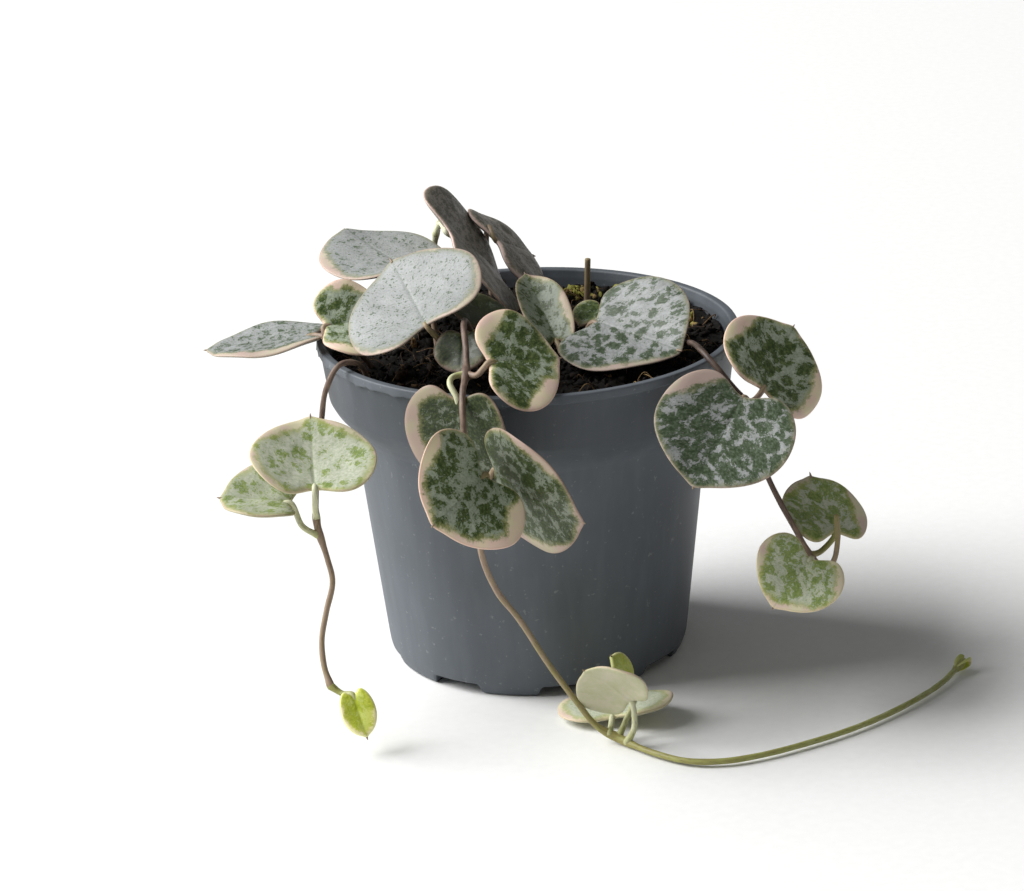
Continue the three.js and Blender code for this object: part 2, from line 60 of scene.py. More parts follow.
# ---- Sizes of the plant, as in the solid model --------------------------------------------------
RIM_RADIUS, POT_HEIGHT = 30.0, 47.7
LIP_WIDTH, LIP_DEPTH, WALL = 1.2, 1.1, 0.9
COLLAR_BOTTOM, COLLAR_RADIUS = 39.0, 28.6
BODY_TOP, BODY_RADIUS = 35.0, 25.4
CORNER_RADIUS, CORNER_HEIGHT = 21.7, 3.4
FOOT_RADIUS, FOOT_WIDTH = 20.9, 2.4
FLOOR_HEIGHT, FLOOR_THICKNESS, FLOOR_CORNER = 1.8, 1.2, 0.6
FEET = {"count": 8, "notch_angle": 20.0, "first_notch": 10.0, "height": 1.6, "slope": 0.7}
DRAIN = {"radius": 2.4, "ring": 11.5, "count": 6}
SOIL = {"level": 44.2, "back_rise": 1.5, "lump": 0.35}
BLADE = {"thickness": 0.9, "lobe": 0.22, "tip": 0.036, "notch_width": 0.38, "tip_width": 0.16}
STALK_RADIUS = 0.45
NEARLY_FLAT = 1e-4                   # degrees of bend a millimetre for a blade without any bend

# Each stem: radius at the root and at the tip, its route, and its tone from root to tip
# (0 dark brown bark, 1 young yellow-green).
STEMS = {
    "vine_left": dict(radius=(0.4, 0.4), tone=(0.3, 0.3, 0.5, 0.55), route=[
        (-21.2, -12.6, 39), (-22.2, -13.3, 44.6), (-23.6, -14.3, 48.2), (-26.2, -16, 48.8),
        (-28.2, -16.6, 45.6), (-29.1, -15.8, 41), (-29.8, -17.5, 35.5), (-30.2, -22.5, 31.5),
        (-30, -26.6, 29.2), (-28.8, -28.4, 25), (-28.2, -29.5, 22), (-29.2, -30.8, 18.2), (-30, -32, 14.4), (-29.8, -33.6, 11.2),
        (-29, -35, 8.8)]),
    "vine_front": dict(radius=(0.44, 0.4), tone=(0.2, 0.25, 0.5, 0.8, 1.0, 1.08), route=[
        (-6.6, -8.5, 39), (-6.8, -9.6, 45), (-7.6, -12, 50.5), (-8.6, -15.2, 54.2), (-8.8, -19.2, 54.4),
        (-8.6, -23, 52.4), (-8.7, -27, 50.4), (-9.2, -31, 49.2), (-9.3, -33.4, 46.6), (-9, -34.8, 42.5),
        (-7.6, -36.8, 38), (-7.3, -37.6, 33.5), (-7.6, -37.8, 28.9), (-5.8, -37.4, 23), (-2.7, -37.1, 18.2),
        (1, -37.2, 11.6), (4.4, -37.5, 6.4), (7.2, -38, 2.6), (10, -38.6, 1), (14.2, -43.2, 0.75),
        (19.2, -46.9, 0.75), (24, -47.4, 0.75), (29.2, -45.9, 0.75), (35.6, -42.6, 0.75), (41.9, -38.5, 0.75),
        (47.4, -33.8, 0.75), (52.6, -28.2, 0.75), (56.2, -23.4, 0.8), (58.4, -19.8, 1.1)]),
    "vine_right": dict(radius=(0.45, 0.38), tone=(0.05, 0.05, 0.15, 0.7), route=[
        (18.5, 2, 39), (20, -2, 44.2), (21.2, -7, 46.8), (22.8, -13, 48.9), (24.3, -18.3, 48.9),
        (26.6, -20.8, 46.6), (29, -21.8, 43.2), (30.6, -22, 38), (32.2, -22.2, 32.4), (33.9, -23, 28.6),
        (35.7, -24, 25.2), (37.2, -25, 22.4), (38.2, -25.4, 20.6), (39.4, -26, 19.7), (40.8, -26, 20.5),
        (41.6, -25.3, 23.6), (41.5, -24.9, 26.9)]),
    "vine_rear": dict(radius=(0.42, 0.4), tone=(1.3, 1.4), route=[
        (-11.5, 22, 39), (-12.2, 22.2, 46), (-13, 21.8, 51.6), (-12.9, 21, 55), (-12.1, 18.8, 58.6)]),
    "vine_side": dict(radius=(0.4, 0.4), tone=(0.2, 0.35), route=[
        (-21, -3, 39), (-22.4, -3.6, 44.4), (-25, -4.6, 47.7), (-27.3, -5.3, 49.1)]),
    "cut_stub": dict(radius=(0.5, 0.42), tone=(0.5, 0.6), route=[
        (8.7, 20.4, 39), (9, 20.2, 45), (9.3, 20, 51.6)]),
}

# Each leaf: its notch, the heading, rise and roll of its blade, its size, how it is curled, drooped and
# folded, and its stalk's route. "on" is the stem that it grows on. "cream" lists the pale stretches of
# its margin as (heading about the blade, depth, spread), where heading 0 is the tip and 180 the notch.
# "green" shifts the pattern towards green (+) or silver (-), and "coarse" weighs patches over flecks.
# "shade" scales the whole blade's brightness, partly its own tone and partly painted shade and light; "tone"
# is the colour of its stalk, as for the stems.
LEAVES = {
    "01": dict(at=(-30.2, -3, 49), turn=175, rise=-10, roll=0, width=14, length=15, curl=0, droop=-5,
               fold=5, on="vine_side", stalk=[(-27.2, -5.2, 49.1), (-28.7, -4.2, 49.2)],
               kind="silver", tone=0.45, green=-0.1, coarse=0.55, shade=0.7, cream=[(270, 1.3, 55)]),
    "02": dict(at=(-16.5, 7.5, 55), turn=125, rise=0, roll=0, width=19, length=16, curl=-5, droop=-15,
               fold=0, stalk=[(-12.8, 1, 39), (-13, 1.6, 46), (-14.2, 3.4, 52.4)],
               kind="silver", tone=0.5, green=-0.28, coarse=0.3, shade=0.75,
               cream=[(285, 1.3, 30), (230, 0.5, 40)]),
    "03": dict(at=(-14, -16.5, 54.1), turn=100, rise=5, roll=30, width=21, length=16, curl=-15, droop=-30,
               fold=5,
               stalk=[(-9.4, -10.5, 39), (-9.6, -11.6, 45.6), (-11, -13.6, 49.2), (-12.7, -15.6, 52.2)],
               kind="silver", tone=0.5, green=-0.3, coarse=0.3, shade=0.63,
               cream=[(125, 0.9, 45), (60, 0.4, 40), (235, 0.5, 35)]),
    "04": dict(at=(-28.5, -6, 51.2), turn=15, rise=0, roll=-35, width=14, length=9, curl=25, droop=-5,
               fold=8, on="vine_side", stalk=[(-26.9, -5.9, 49), (-28.3, -6.6, 49.9)],
               kind="green", tone=0.45, green=0.1, coarse=0.8, shade=1.3,
               cream=[(280, 1.3, 32), (105, 1.7, 38)]),
    "05": dict(at=(-11, 8, 60), turn=50, rise=-35, roll=-40, width=23, length=17, curl=-20, droop=10,
               fold=10, on="vine_rear", stalk=[(-12.7, 20.4, 56.2), (-12, 16, 59), (-11.5, 11.2, 60.2)],
               kind="dusky", tone=1.35, green=0.1, coarse=0.5, shade=1.1, cream=[(150, 0.5, 55)]),
    "06": dict(at=(-4.1, 17.9, 55.6), turn=61, rise=-26, roll=-41, width=17, length=12.5, curl=-37,
               droop=0, fold=2, stalk=[(-5, 25.5, 39), (-5, 25.8, 47), (-5.4, 24, 54), (-4.9, 20, 57)],
               kind="dusky", tone=0.45, green=0.1, coarse=0.5, shade=1.15, cream=[(160, 0.6, 55)]),
    "07": dict(at=(4, -0.5, 45.9), turn=110, rise=30, roll=5, width=8.5, length=13, curl=5, droop=0,
               fold=30, stalk=[(5, -3, 39), (4.8, -2.6, 43.6), (4.4, -1.5, 45.4)],
               kind="green", tone=0.5, green=0.0, coarse=0.75, shade=0.75,
               cream=[(25, 1.0, 25), (105, 1.5, 30)]),
    "08": dict(at=(-5.5, -5.5, 49.9), turn=110, rise=20, roll=-20, width=11, length=9, curl=0, droop=0,
               fold=5, stalk=[(-3.6, -8.4, 39), (-3.8, -8.4, 44.6), (-4.8, -6.9, 48.8)],
               kind="green", tone=0.4, green=0.6, coarse=0.7, shade=0.3, cream=[(0, 0.3, 180)]),
    "09": dict(at=(-5.5, -28.6, 52.5), turn=25, rise=-10, roll=-40, width=16.5, length=10, curl=-10,
               droop=-10, fold=5, on="vine_front",
               stalk=[(-8.7, -27, 50.4), (-7.3, -28.2, 50.6), (-6.3, -28.8, 51.7)],
               kind="green", tone=0.5, green=0.35, coarse=0.9, shade=1.1,
               cream=[(235, 2.4, 34), (62, 2.4, 32), (0, 0.4, 40), (150, 0.3, 40)]),
    "10": dict(at=(-8.7, -16.4, 52.7), turn=-100, rise=-45, roll=-10, width=8.5, length=6, curl=10,
               droop=0, fold=5, on="vine_front", stalk=[(-7.7, -12.4, 51.1), (-8.2, -14, 51.8)],
               kind="green", tone=0.4, green=0.6, coarse=0.8, shade=0.3, cream=[(0, 0.4, 180)]),
    "11": dict(at=(9.5, -1.5, 48.8), turn=-45, rise=-5, roll=-25, width=20.5, length=16, curl=-10,
               droop=-5, fold=15, stalk=[(8.2, 2.4, 39), (8.2, 2.2, 44.6), (8.7, 0.2, 47.6)],
               kind="silver", tone=0.35, green=0.05, coarse=0.95, shade=0.6, cream=[(50, 1.0, 34)]),
    "12": dict(at=(11, 9, 47.5), turn=-135, rise=-15, roll=0, width=6.5, length=5, curl=5, droop=5,
               fold=20, stalk=[(12.4, 11, 39), (12.4, 11, 44.6), (11.9, 10.1, 46.8)],
               kind="green", tone=0.4, green=0.5, coarse=0.6, shade=1.1, cream=[(180, 0.1, 60)]),
    "13": dict(at=(-10, -30.8, 48.3), turn=-80, rise=-92, roll=-40, width=16.5, length=13, curl=-5,
               droop=5, fold=5, on="vine_front",
               stalk=[(-8.7, -27, 50.4), (-10.4, -27.8, 50.4), (-10.9, -29.6, 50)],
               kind="green", tone=1.25, green=0.5, coarse=0.9, shade=0.5,
               cream=[(85, 2.6, 40), (135, 1.5, 30), (270, 0.4, 40)]),
    "14": dict(at=(-6.5, -40, 40.6), turn=-125, rise=-15, roll=55, width=19, length=12, curl=20, droop=5,
               fold=10, on="vine_front", stalk=[(-7.5, -37, 37.2), (-6.6, -38.8, 38.2)],
               kind="green", tone=0.5, green=0.15, coarse=0.85, shade=1.25,
               cream=[(75, 2.1, 22), (30, 0.7, 30), (250, 2.8, 28), (295, 1.6, 30), (335, 0.9, 25)]),
    "15": dict(at=(-5.2, -36.5, 40), turn=-50, rise=-15, roll=-105, width=19, length=16, curl=-5, droop=10,
               fold=5, on="vine_front", stalk=[(-7.5, -37, 37.2), (-6.3, -36.2, 38.2)],
               kind="green", tone=0.5, green=0.3, coarse=0.85, shade=0.55,
               cream=[(285, 1.2, 28), (75, 1.7, 36), (0, 0.6, 25)]),
    "16": dict(at=(-30, -28, 35), turn=95, rise=15, roll=-5, width=18, length=12.5, curl=5, droop=-35,
               fold=10, on="vine_left", stalk=[(-30.1, -25.6, 29.9), (-30.1, -27.8, 31.9)],
               kind="cream", tone=1.3, green=-0.15, coarse=0.8, shade=0.9,
               cream=[(330, 1.4, 28), (35, 0.9, 30), (245, 0.9, 40), (100, 0.4, 40)]),
    "17": dict(at=(-33.5, -26, 32.4), turn=175, rise=5, roll=20, width=12.5, length=9.5, curl=5, droop=0,
               fold=20, on="vine_left", stalk=[(-29.7, -27.3, 27.9), (-32, -27.4, 29.5)],
               kind="cream", tone=1.3, green=-0.1, coarse=0.65, shade=0.7,
               cream=[(300, 0.4, 60), (90, 0.4, 60)]),
    "18": dict(at=(-26, -36.5, 8), turn=-60, rise=-55, roll=-20, width=5, length=6, curl=0, droop=0,
               fold=10, on="vine_left", stalk=[(-29, -35, 8.8), (-27.4, -35.7, 7.9)],
               kind="young", tone=1.1, green=0.4, coarse=0.7, shade=1.3,
               cream=[(60, 0.6, 60), (300, 0.5, 60)]),
    "19": dict(at=(32, -19, 43.7), turn=75, rise=15, roll=-45, width=17, length=13, curl=-15, droop=-25,
               fold=5, on="vine_right", stalk=[(29, -21.8, 43.2), (30.6, -20.6, 42.8)],
               kind="green", tone=0.45, green=0.2, coarse=0.85, shade=1.15,
               cream=[(285, 2.0, 28), (85, 1.7, 34), (120, 1.4, 20), (225, 0.5, 40)]),
    "20": dict(at=(29, -24.5, 44.6), turn=-125, rise=-35, roll=25, width=20, length=16, curl=10, droop=-10,
               fold=10, on="vine_right", stalk=[(29, -21.8, 43.2), (29.6, -23, 43.7)],
               kind="silver", tone=0.45, green=0.45, coarse=1.0, shade=0.7, cream=[(128, 2.3, 27)]),
    "21": dict(at=(41.5, -22.5, 23.4), turn=110, rise=30, roll=-10, width=13, length=10, curl=-10,
               droop=-10, fold=0, on="vine_right", stalk=[(37.8, -25.2, 21.4), (39.5, -23.6, 21.4)],
               kind="cream", tone=0.9, green=0.25, coarse=0.8, shade=0.8,
               cream=[(95, 2.0, 40), (330, 0.9, 32)]),
    "22": dict(at=(37.7, -28, 22), turn=-130, rise=-25, roll=35, width=14, length=9.5, curl=10, droop=5,
               fold=20, on="vine_right", stalk=[(38.3, -25.4, 20.5), (37.9, -27.2, 20.4)],
               kind="cream", tone=1.25, green=0.1, coarse=0.7, shade=1.15,
               cream=[(75, 1.2, 30), (239, 1.0, 35), (345, 0.9, 36)]),
    "23": dict(at=(12, -39.8, 6.9), turn=170, rise=50, roll=-60, width=13, length=8, curl=-50, droop=35,
               fold=0, on="vine_front", stalk=[(11.3, -40, 0.9), (12.3, -40.4, 3.2)],
               kind="cream", tone=1.3, green=-0.3, coarse=0.5, shade=0.85,
               cream=[(90, 1.0, 60), (270, 1.0, 60)]),
    "24": dict(at=(9.5, -33.5, 1.8), turn=80, rise=0, roll=8, width=16.5, length=9, curl=0, droop=0,
               fold=5, on="vine_front", stalk=[(8.9, -38.3, 1.6), (9.2, -36, 1.5)],
               kind="cream", tone=1.3, green=-0.5, coarse=0.5, shade=0.9,
               cream=[(90, 1.0, 60), (270, 1.0, 60)]),
    "25": dict(at=(12, -33, 7.2), turn=215, rise=55, roll=60, width=4.5, length=5, curl=0, droop=0, fold=5,
               on="vine_front", stalk=[(10.1, -38.7, 1), (11.2, -37, 2.6), (12.6, -34.6, 5.2)],
               kind="young", tone=1.2, green=0, coarse=0.6, shade=1.0, cream=[(90, 0.3, 60)]),
}


# ---- Meshes -------------------------------------------------------------------------------------
def shell(rows, material=0, **fields):
    """One closed surface from rows of points. Each row runs once round; the first and the last row are
    drawn to a pole. Fields are values per point that the materials read, given in the same rows."""
    def flat(values):
        values = np.asarray(values, float)
        ends = values[0].mean(axis=0, keepdims=True), values[-1].mean(axis=0, keepdims=True)
        return np.concatenate([values[1:-1].reshape(-1, *values.shape[2:]), *ends])

    count, around = rows.shape[0] - 2, rows.shape[1]
    i, j = np.arange(count - 1)[:, None], np.arange(around)[None]
    following = (j + 1) % around
    quads = np.stack([i * around + j, i * around + following, (i + 1) * around + following,
                      (i + 1) * around + j], axis=-1).reshape(-1, 4)
    j, following = j[0], following[0]
    first, last, base = count * around + 0 * j, count * around + 1 + 0 * j, (count - 1) * around
    caps = np.concatenate([np.stack([first, following, j], axis=-1),
                           np.stack([last, base + j, base + following], axis=-1)])
    points = flat(rows)
    corners = np.concatenate([caps, quads[:, :3], quads[:, [0, 2, 3]]])
    a, b, c = (points[corners[:, k]] - points.mean(axis=0) for k in range(3))
    if np.einsum("ij,ij->", a, np.cross(b, c)) < 0:             # volume: turn an inside-out surface round
        quads, caps = quads[:, ::-1], caps[:, ::-1]
    return dict(points=points, quads=quads, caps=caps, material=material,
                fields={name: flat(values) for name, values in fields.items()})


def piece(name, shells, materials, node):
    """Joins closed shells into one object in the frame that stands for a node of the solid model."""
    points, faces, slots, base = [], [], [], 0
    for part in shells:
        points.append(part["points"])
        faces += (part["quads"] + base).tolist() + (part["caps"] + base).tolist()
        slots.append(np.full(len(part["quads"]) + len(part["caps"]), part["material"]))
        base += len(part["points"])
    mesh = bpy.data.meshes.new(name)
    mesh.from_pydata(np.concatenate(points) * MM + POT_AXIS, [], faces)
    mesh.polygons.foreach_set("material_index", np.concatenate(slots).astype(np.int32))
    mesh.polygons.foreach_set("use_smooth", np.ones(len(faces), bool))
    for field in sorted({field for part in shells for field in part["fields"]}):
        size = next(part["fields"][field] for part in shells if field in part["fields"]).shape[1:]
        values = [part["fields"].get(field, np.zeros((len(part["points"]), *size))) for part in shells]
        layer = mesh.attributes.new(field, "FLOAT_VECTOR" if size else "FLOAT", "POINT")
        layer.data.foreach_set("vector" if size else "value", np.concatenate(values).ravel())
    for material in materials:
        mesh.materials.append(material)
    made = bpy.data.objects.new(name, mesh)
    bpy.context.scene.collection.objects.link(made)
    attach(made, "root")
    if node:
        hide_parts(node)
    return made


def smooth_path(route, count):
    """Centripetal Catmull-Rom curve through the route, at `count` places evenly spaced along it. Each
    stretch is the cubic with both of its end points and with slopes weighed by the root of the spacing."""
    points = np.asarray(route, float)
    points = np.vstack([2 * points[0] - points[1], points, 2 * points[-1] - points[-2]])
    spacing = np.sqrt(np.linalg.norm(np.diff(points, axis=0), axis=1))
    before, first, second, after = (points[k:len(points) - 3 + k, None] for k in range(4))
    d0, d1, d2 = (spacing[k:len(spacing) - 2 + k, None, None] for k in range(3))
    leaving = d1 * ((first - before) / d0 - (second - before) / (d0 + d1) + (second - first) / d1)
    arriving = d1 * ((second - first) / d1 - (after - first) / (d1 + d2) + (after - second) / d2)
    t = np.linspace(0, 1, 24, endpoint=False)[None, :, None]
    dense = ((2 * t**3 - 3 * t**2 + 1) * first + (t**3 - 2 * t**2 + t) * leaving
             + (3 * t**2 - 2 * t**3) * second + (t**3 - t**2) * arriving).reshape(-1, 3)
    dense = np.vstack([dense, points[-2]])
    travelled = np.concatenate([[0], np.cumsum(np.linalg.norm(np.diff(dense, axis=0), axis=1))])
    even = np.linspace(0, travelled[-1], count)
    return np.stack([np.interp(even, travelled, dense[:, k]) for k in range(3)], axis=-1), travelled[-1]


def unit(vectors):
    return vectors / np.linalg.norm(vectors, axis=-1, keepdims=True)


def tube_rows(centre, radius, sides, blunt=(1.0, 1.0)):
    """A round section carried along a path: point = centre + radius·(cos a·side + sin a·over), where side
    is square to the path and to one fixed direction that the path never runs along. Each end closes
    in a dome as high as `blunt` times its radius."""
    tangent = unit(np.gradient(centre, axis=0))
    k = np.arange(90)
    height, heading = 1 - 2 * (k + 0.5) / 90, 2.39996 * k                # directions spread over a sphere
    ring = np.sqrt(1 - height**2)
    candidates = np.stack([ring * np.cos(heading), ring * np.sin(heading), height], axis=-1)
    clear = np.linalg.norm(np.cross(tangent[:, None], candidates[None]), axis=-1).min(axis=0)
    side = unit(np.cross(tangent, candidates[clear.argmax()]))
    over = np.cross(tangent, side)
    lift = np.radians([0, 30, 60])
    start = centre[0] - tangent[0] * radius[0] * blunt[0] * np.cos(lift)[:, None]
    end = centre[-1] + tangent[-1] * radius[-1] * blunt[1] * np.cos(lift)[::-1, None]
    centre = np.vstack([start, centre, end])
    radius = np.concatenate([radius[0] * np.sin(lift), radius, radius[-1] * np.sin(lift)[::-1]])
    keep = np.clip(np.arange(len(centre)) - 3, 0, len(side) - 1)
    a = np.linspace(0, 2 * np.pi, sides, endpoint=False)[None, :, None]
    round_ = np.cos(a) * side[keep][:, None] + np.sin(a) * over[keep][:, None]
    return centre[:, None] + radius[:, None, None] * round_, keep


def ripple(x, y, size, seed, waves=24):
    """A soft random height, about -1 to 1: many sine waves of nearly one wavelength in all directions."""
    draw = np.random.default_rng(seed)
    heading, phase = draw.uniform(0, 2 * np.pi, (2, waves))
    pace = 2 * np.pi / size * draw.uniform(0.7, 1.4, waves)
    along = x[..., None] * np.cos(heading) + y[..., None] * np.sin(heading)
    return np.sin(pace * along + phase).sum(axis=-1) / math.sqrt(waves / 2) / 2


# ---- Finishes -----------------------------------------------------------------------------------
def linear(colour, alpha=1.0):
    """An sRGB hex colour as the linear values that a shader takes."""
    parts = np.array([int(colour[k:k + 2], 16) for k in (1, 3, 5)]) / 255
    return (*np.where(parts <= 0.04045, parts / 12.92, ((parts + 0.055) / 1.055) ** 2.4).tolist(), alpha)


def per(millimetres):
    """A texture's scale for a feature of this size, on coordinates in metres."""
    return 1 / (millimetres * MM)


def add(tree, kind, inputs=None, stops=None, **settings):
    """Adds one node. Settings are its own options, inputs name a socket and give its value or the output
    that feeds it, and stops are a colour ramp's places and colours."""
    made = tree.nodes.new("ShaderNode" + kind)
    for setting, value in settings.items():
        setattr(made, setting, value)
    for socket, value in (inputs or {}).items():
        if isinstance(value, bpy.types.NodeSocket):
            tree.links.new(value, made.inputs[socket])
        else:
            made.inputs[socket].default_value = value
    if stops:
        elements = made.color_ramp.elements
        while len(elements) < len(stops):
            elements.new(0.5)
        for element, (place, colour) in zip(elements, stops):
            element.position, element.color = place, linear(colour)
    return made


def new_material(name):
    material = bpy.data.materials.new(name)
    material.use_nodes = True
    material.node_tree.nodes.clear()
    return material, material.node_tree


def output(tree, shader):
    add(tree, "OutputMaterial", {"Surface": shader.outputs[0]})


# Mix nodes in colour mode take their colours on sockets 6 and 7 and give the result on output 2.
RGBA = {"data_type": "RGBA"}
SMOOTH = {"interpolation_type": "SMOOTHSTEP"}


def leaf_material(name, silver, patch, cream, blush, halo, rim, underside):
    """Blade of a variegated leaf: a waxy, slightly fleshy skin. Air under the skin makes the silver, its
    gaps show the green below, and the margin has no green at all. Reads the blade's own fields:
    blade = flat place on the leaf, margin = (depth inside the pale margin, distance to the edge, distance
    to the midrib) in mm, habit = (share of green, coarseness, underside), and shade = a factor on the
    whole blade's brightness, partly the leaf's own tone and partly painted shade and light."""
    material, tree = new_material(name)
    place = add(tree, "Attribute", attribute_name="blade").outputs["Vector"]
    margin = add(tree, "Attribute", attribute_name="margin").outputs["Vector"]
    margin = add(tree, "SeparateXYZ", {0: margin}).outputs
    habit = add(tree, "Attribute", attribute_name="habit").outputs["Vector"]
    habit = add(tree, "SeparateXYZ", {0: habit}).outputs

    wander = add(tree, "TexNoise", {"Vector": place, "Scale": per(1.1), "Detail": 4.0, "Roughness": 0.7})
    wander = add(tree, "VectorMath", {0: wander.outputs["Color"], 1: (0.5, 0.5, 0.5)}, operation="SUBTRACT")
    wander = add(tree, "VectorMath", {0: wander.outputs[0], "Scale": 2.0 * MM}, operation="SCALE")
    bent = add(tree, "VectorMath", {0: place, 1: wander.outputs[0]}, operation="ADD").outputs[0]
    cells = add(tree, "TexVoronoi", {"Vector": bent, "Scale": per(2.7)}, feature="DISTANCE_TO_EDGE")
    blotch = add(tree, "TexNoise", {"Vector": bent, "Scale": per(1.9), "Detail": 4.0, "Roughness": 0.66})
    fleck = add(tree, "TexNoise", {"Vector": place, "Scale": per(0.45), "Detail": 2.0, "Roughness": 0.65})
    grain = add(tree, "TexNoise", {"Vector": place, "Scale": per(0.16), "Detail": 1.0})

    inside = add(tree, "MapRange", {0: cells.outputs["Distance"], 1: 0.02, 2: 0.22, 3: -0.5, 4: 0.22})
    patchy = add(tree, "MapRange", {0: blotch.outputs[0], 1: 0.3, 2: 0.7, 3: -0.9, 4: 0.9}, clamp=False)
    coarse = add(tree, "Math", {0: inside.outputs[0], 1: patchy.outputs[0]}, operation="ADD")
    coarse = add(tree, "Math", {0: coarse.outputs[0], 1: habit[1]}, operation="MULTIPLY")
    speck = add(tree, "MapRange", {0: fleck.outputs[0], 1: 0.3, 2: 0.7, 3: -0.8, 4: 0.8}, clamp=False)
    fine = add(tree, "MapRange", {0: habit[1], 1: 0.0, 2: 1.0, 3: 1.0, 4: 0.45})
    speck = add(tree, "Math", {0: speck.outputs[0], 1: fine.outputs[0]}, operation="MULTIPLY")
    green = add(tree, "Math", {0: coarse.outputs[0], 1: speck.outputs[0]}, operation="ADD")
    green = add(tree, "Math", {0: green.outputs[0], 1: habit[0]}, operation="ADD")
    green = add(tree, "MapRange", {0: green.outputs[0], 1: -0.2, 2: 0.24}, **SMOOTH).outputs[0]

    silver_ = add(tree, "ValToRGB", {0: fleck.outputs[0]}, stops=list(zip((0.3, 0.62), silver)))
    patch_ = add(tree, "ValToRGB", {0: fleck.outputs[0]}, stops=list(zip((0.32, 0.5, 0.68), patch)))
    colour = add(tree, "Mix", {0: green, 6: silver_.outputs[0], 7: patch_.outputs[0]}, **RGBA)

    ragged = add(tree, "MapRange", {0: blotch.outputs[0], 1: 0.35, 2: 0.65, 3: 0.3, 4: -0.4}, clamp=False)
    torn = add(tree, "MapRange", {0: fleck.outputs[0], 1: 0.3, 2: 0.7, 3: -0.2, 4: 0.2}, clamp=False)
    depth = add(tree, "Math", {0: margin[0], 1: ragged.outputs[0]}, operation="ADD")
    depth = add(tree, "Math", {0: depth.outputs[0], 1: torn.outputs[0]}, operation="ADD").outputs[0]
    near = add(tree, "MapRange", {0: depth, 1: -1.1, 2: 0.0, 4: 0.7}, **SMOOTH)
    colour = add(tree, "Mix", {0: near.outputs[0], 6: colour.outputs[2], 7: linear(halo)}, **RGBA)
    tint = add(tree, "TexNoise", {"Vector": place, "Scale": per(3.5), "Detail": 1.0})
    pale = add(tree, "ValToRGB", {0: tint.outputs[0]}, stops=[(0.38, cream), (0.62, blush)])
    bare = add(tree, "MapRange", {0: depth, 1: -0.35, 2: 0.35}, **SMOOTH)
    colour = add(tree, "Mix", {0: bare.outputs[0], 6: colour.outputs[2], 7: pale.outputs[0]}, **RGBA)

    line = add(tree, "MapRange", {0: margin[2], 1: 0.05, 2: 0.2, 3: 0.25, 4: 0.0}, **SMOOTH)
    colour = add(tree, "Mix", {0: line.outputs[0], 6: colour.outputs[2], 7: linear(patch[1])}, **RGBA)
    lip = add(tree, "MapRange", {0: margin[1], 1: 0.1, 2: 0.35, 3: 0.6, 4: 0.0}, **SMOOTH)
    rimmed = add(tree, "MapRange", {0: margin[0], 1: -0.45, 2: 0.0, 3: 0.12, 4: 1.0})
    lip = add(tree, "Math", {0: lip.outputs[0], 1: rimmed.outputs[0]}, operation="MULTIPLY")
    colour = add(tree, "Mix", {0: lip.outputs[0], 6: colour.outputs[2], 7: linear(rim)}, **RGBA)
    under = add(tree, "ValToRGB", {0: blotch.outputs[0]}, stops=list(zip((0.35, 0.65), underside)))
    colour = add(tree, "Mix", {0: habit[2], 6: colour.outputs[2], 7: under.outputs[0]}, **RGBA)

    # Painted shade and light: each leaf's shade factor darkens or brightens its whole blade, partly for its
    # own tone.
    shade = add(tree, "Attribute", attribute_name="shade").outputs["Fac"]
    colour = add(tree, "VectorMath", {0: colour.outputs[2], "Scale": shade}, operation="SCALE").outputs[0]

    gloss = add(tree, "MapRange", {0: fleck.outputs[0], 1: 0.3, 2: 0.7, 3: 0.36, 4: 0.52})
    swell = add(tree, "Bump", {"Height": blotch.outputs[0], "Strength": 0.22, "Distance": 0.25 * MM})
    skin = add(tree, "Bump", {"Height": grain.outputs[0], "Strength": 0.2, "Distance": 0.04 * MM,
                              "Normal": swell.outputs[0]})
    shader = add(tree, "BsdfPrincipled", {
        "Base Color": colour, "Roughness": gloss.outputs[0], "Normal": skin.outputs[0], "IOR": 1.42,
        "Specular IOR Level": 0.4, "Subsurface Weight": 0.08, "Subsurface Radius": (1.0, 1.0, 0.5),
        "Subsurface Scale": 0.6 * MM})
    output(tree, shader)
    return material


def stem_material(name, stops):
    """Bark and skin of the stems: thin, slightly waxy, brown where old and green where young. The field
    tone runs from 0 (old) to 1 (young), and stem is the place along and round the stem."""
    material, tree = new_material(name)
    tone = add(tree, "Attribute", attribute_name="tone").outputs["Fac"]
    place = add(tree, "Attribute", attribute_name="stem").outputs["Vector"]
    streak = add(tree, "TexNoise", {"Vector": place, "Scale": per(0.5), "Detail": 3.0, "Roughness": 0.6})
    speck = add(tree, "TexNoise", {"Vector": place, "Scale": per(0.22), "Detail": 1.0})
    shift = add(tree, "MapRange", {0: streak.outputs[0], 1: 0.3, 2: 0.7, 3: -0.12, 4: 0.12})
    aged = add(tree, "Math", {0: tone, 1: shift.outputs[0]}, operation="ADD")
    aged = add(tree, "Math", {0: aged.outputs[0], 1: 1.5}, operation="DIVIDE")
    colour = add(tree, "ValToRGB", {0: aged.outputs[0]}, stops=stops)
    dark = add(tree, "MapRange", {0: speck.outputs[0], 1: 0.6, 2: 0.72, 4: 0.35})
    colour = add(tree, "Mix", {0: dark.outputs[0], 6: colour.outputs[0], 7: linear("#2c211a")}, **RGBA)
    gloss = add(tree, "MapRange", {0: streak.outputs[0], 1: 0.3, 2: 0.7, 3: 0.42, 4: 0.6})
    bump = add(tree, "Bump", {"Height": streak.outputs[0], "Strength": 0.4, "Distance": 0.08 * MM})
    shader = add(tree, "BsdfPrincipled", {"Base Color": colour.outputs[2], "Roughness": gloss.outputs[0],
                                          "Normal": bump.outputs[0], "IOR": 1.45})
    output(tree, shader)
    return material


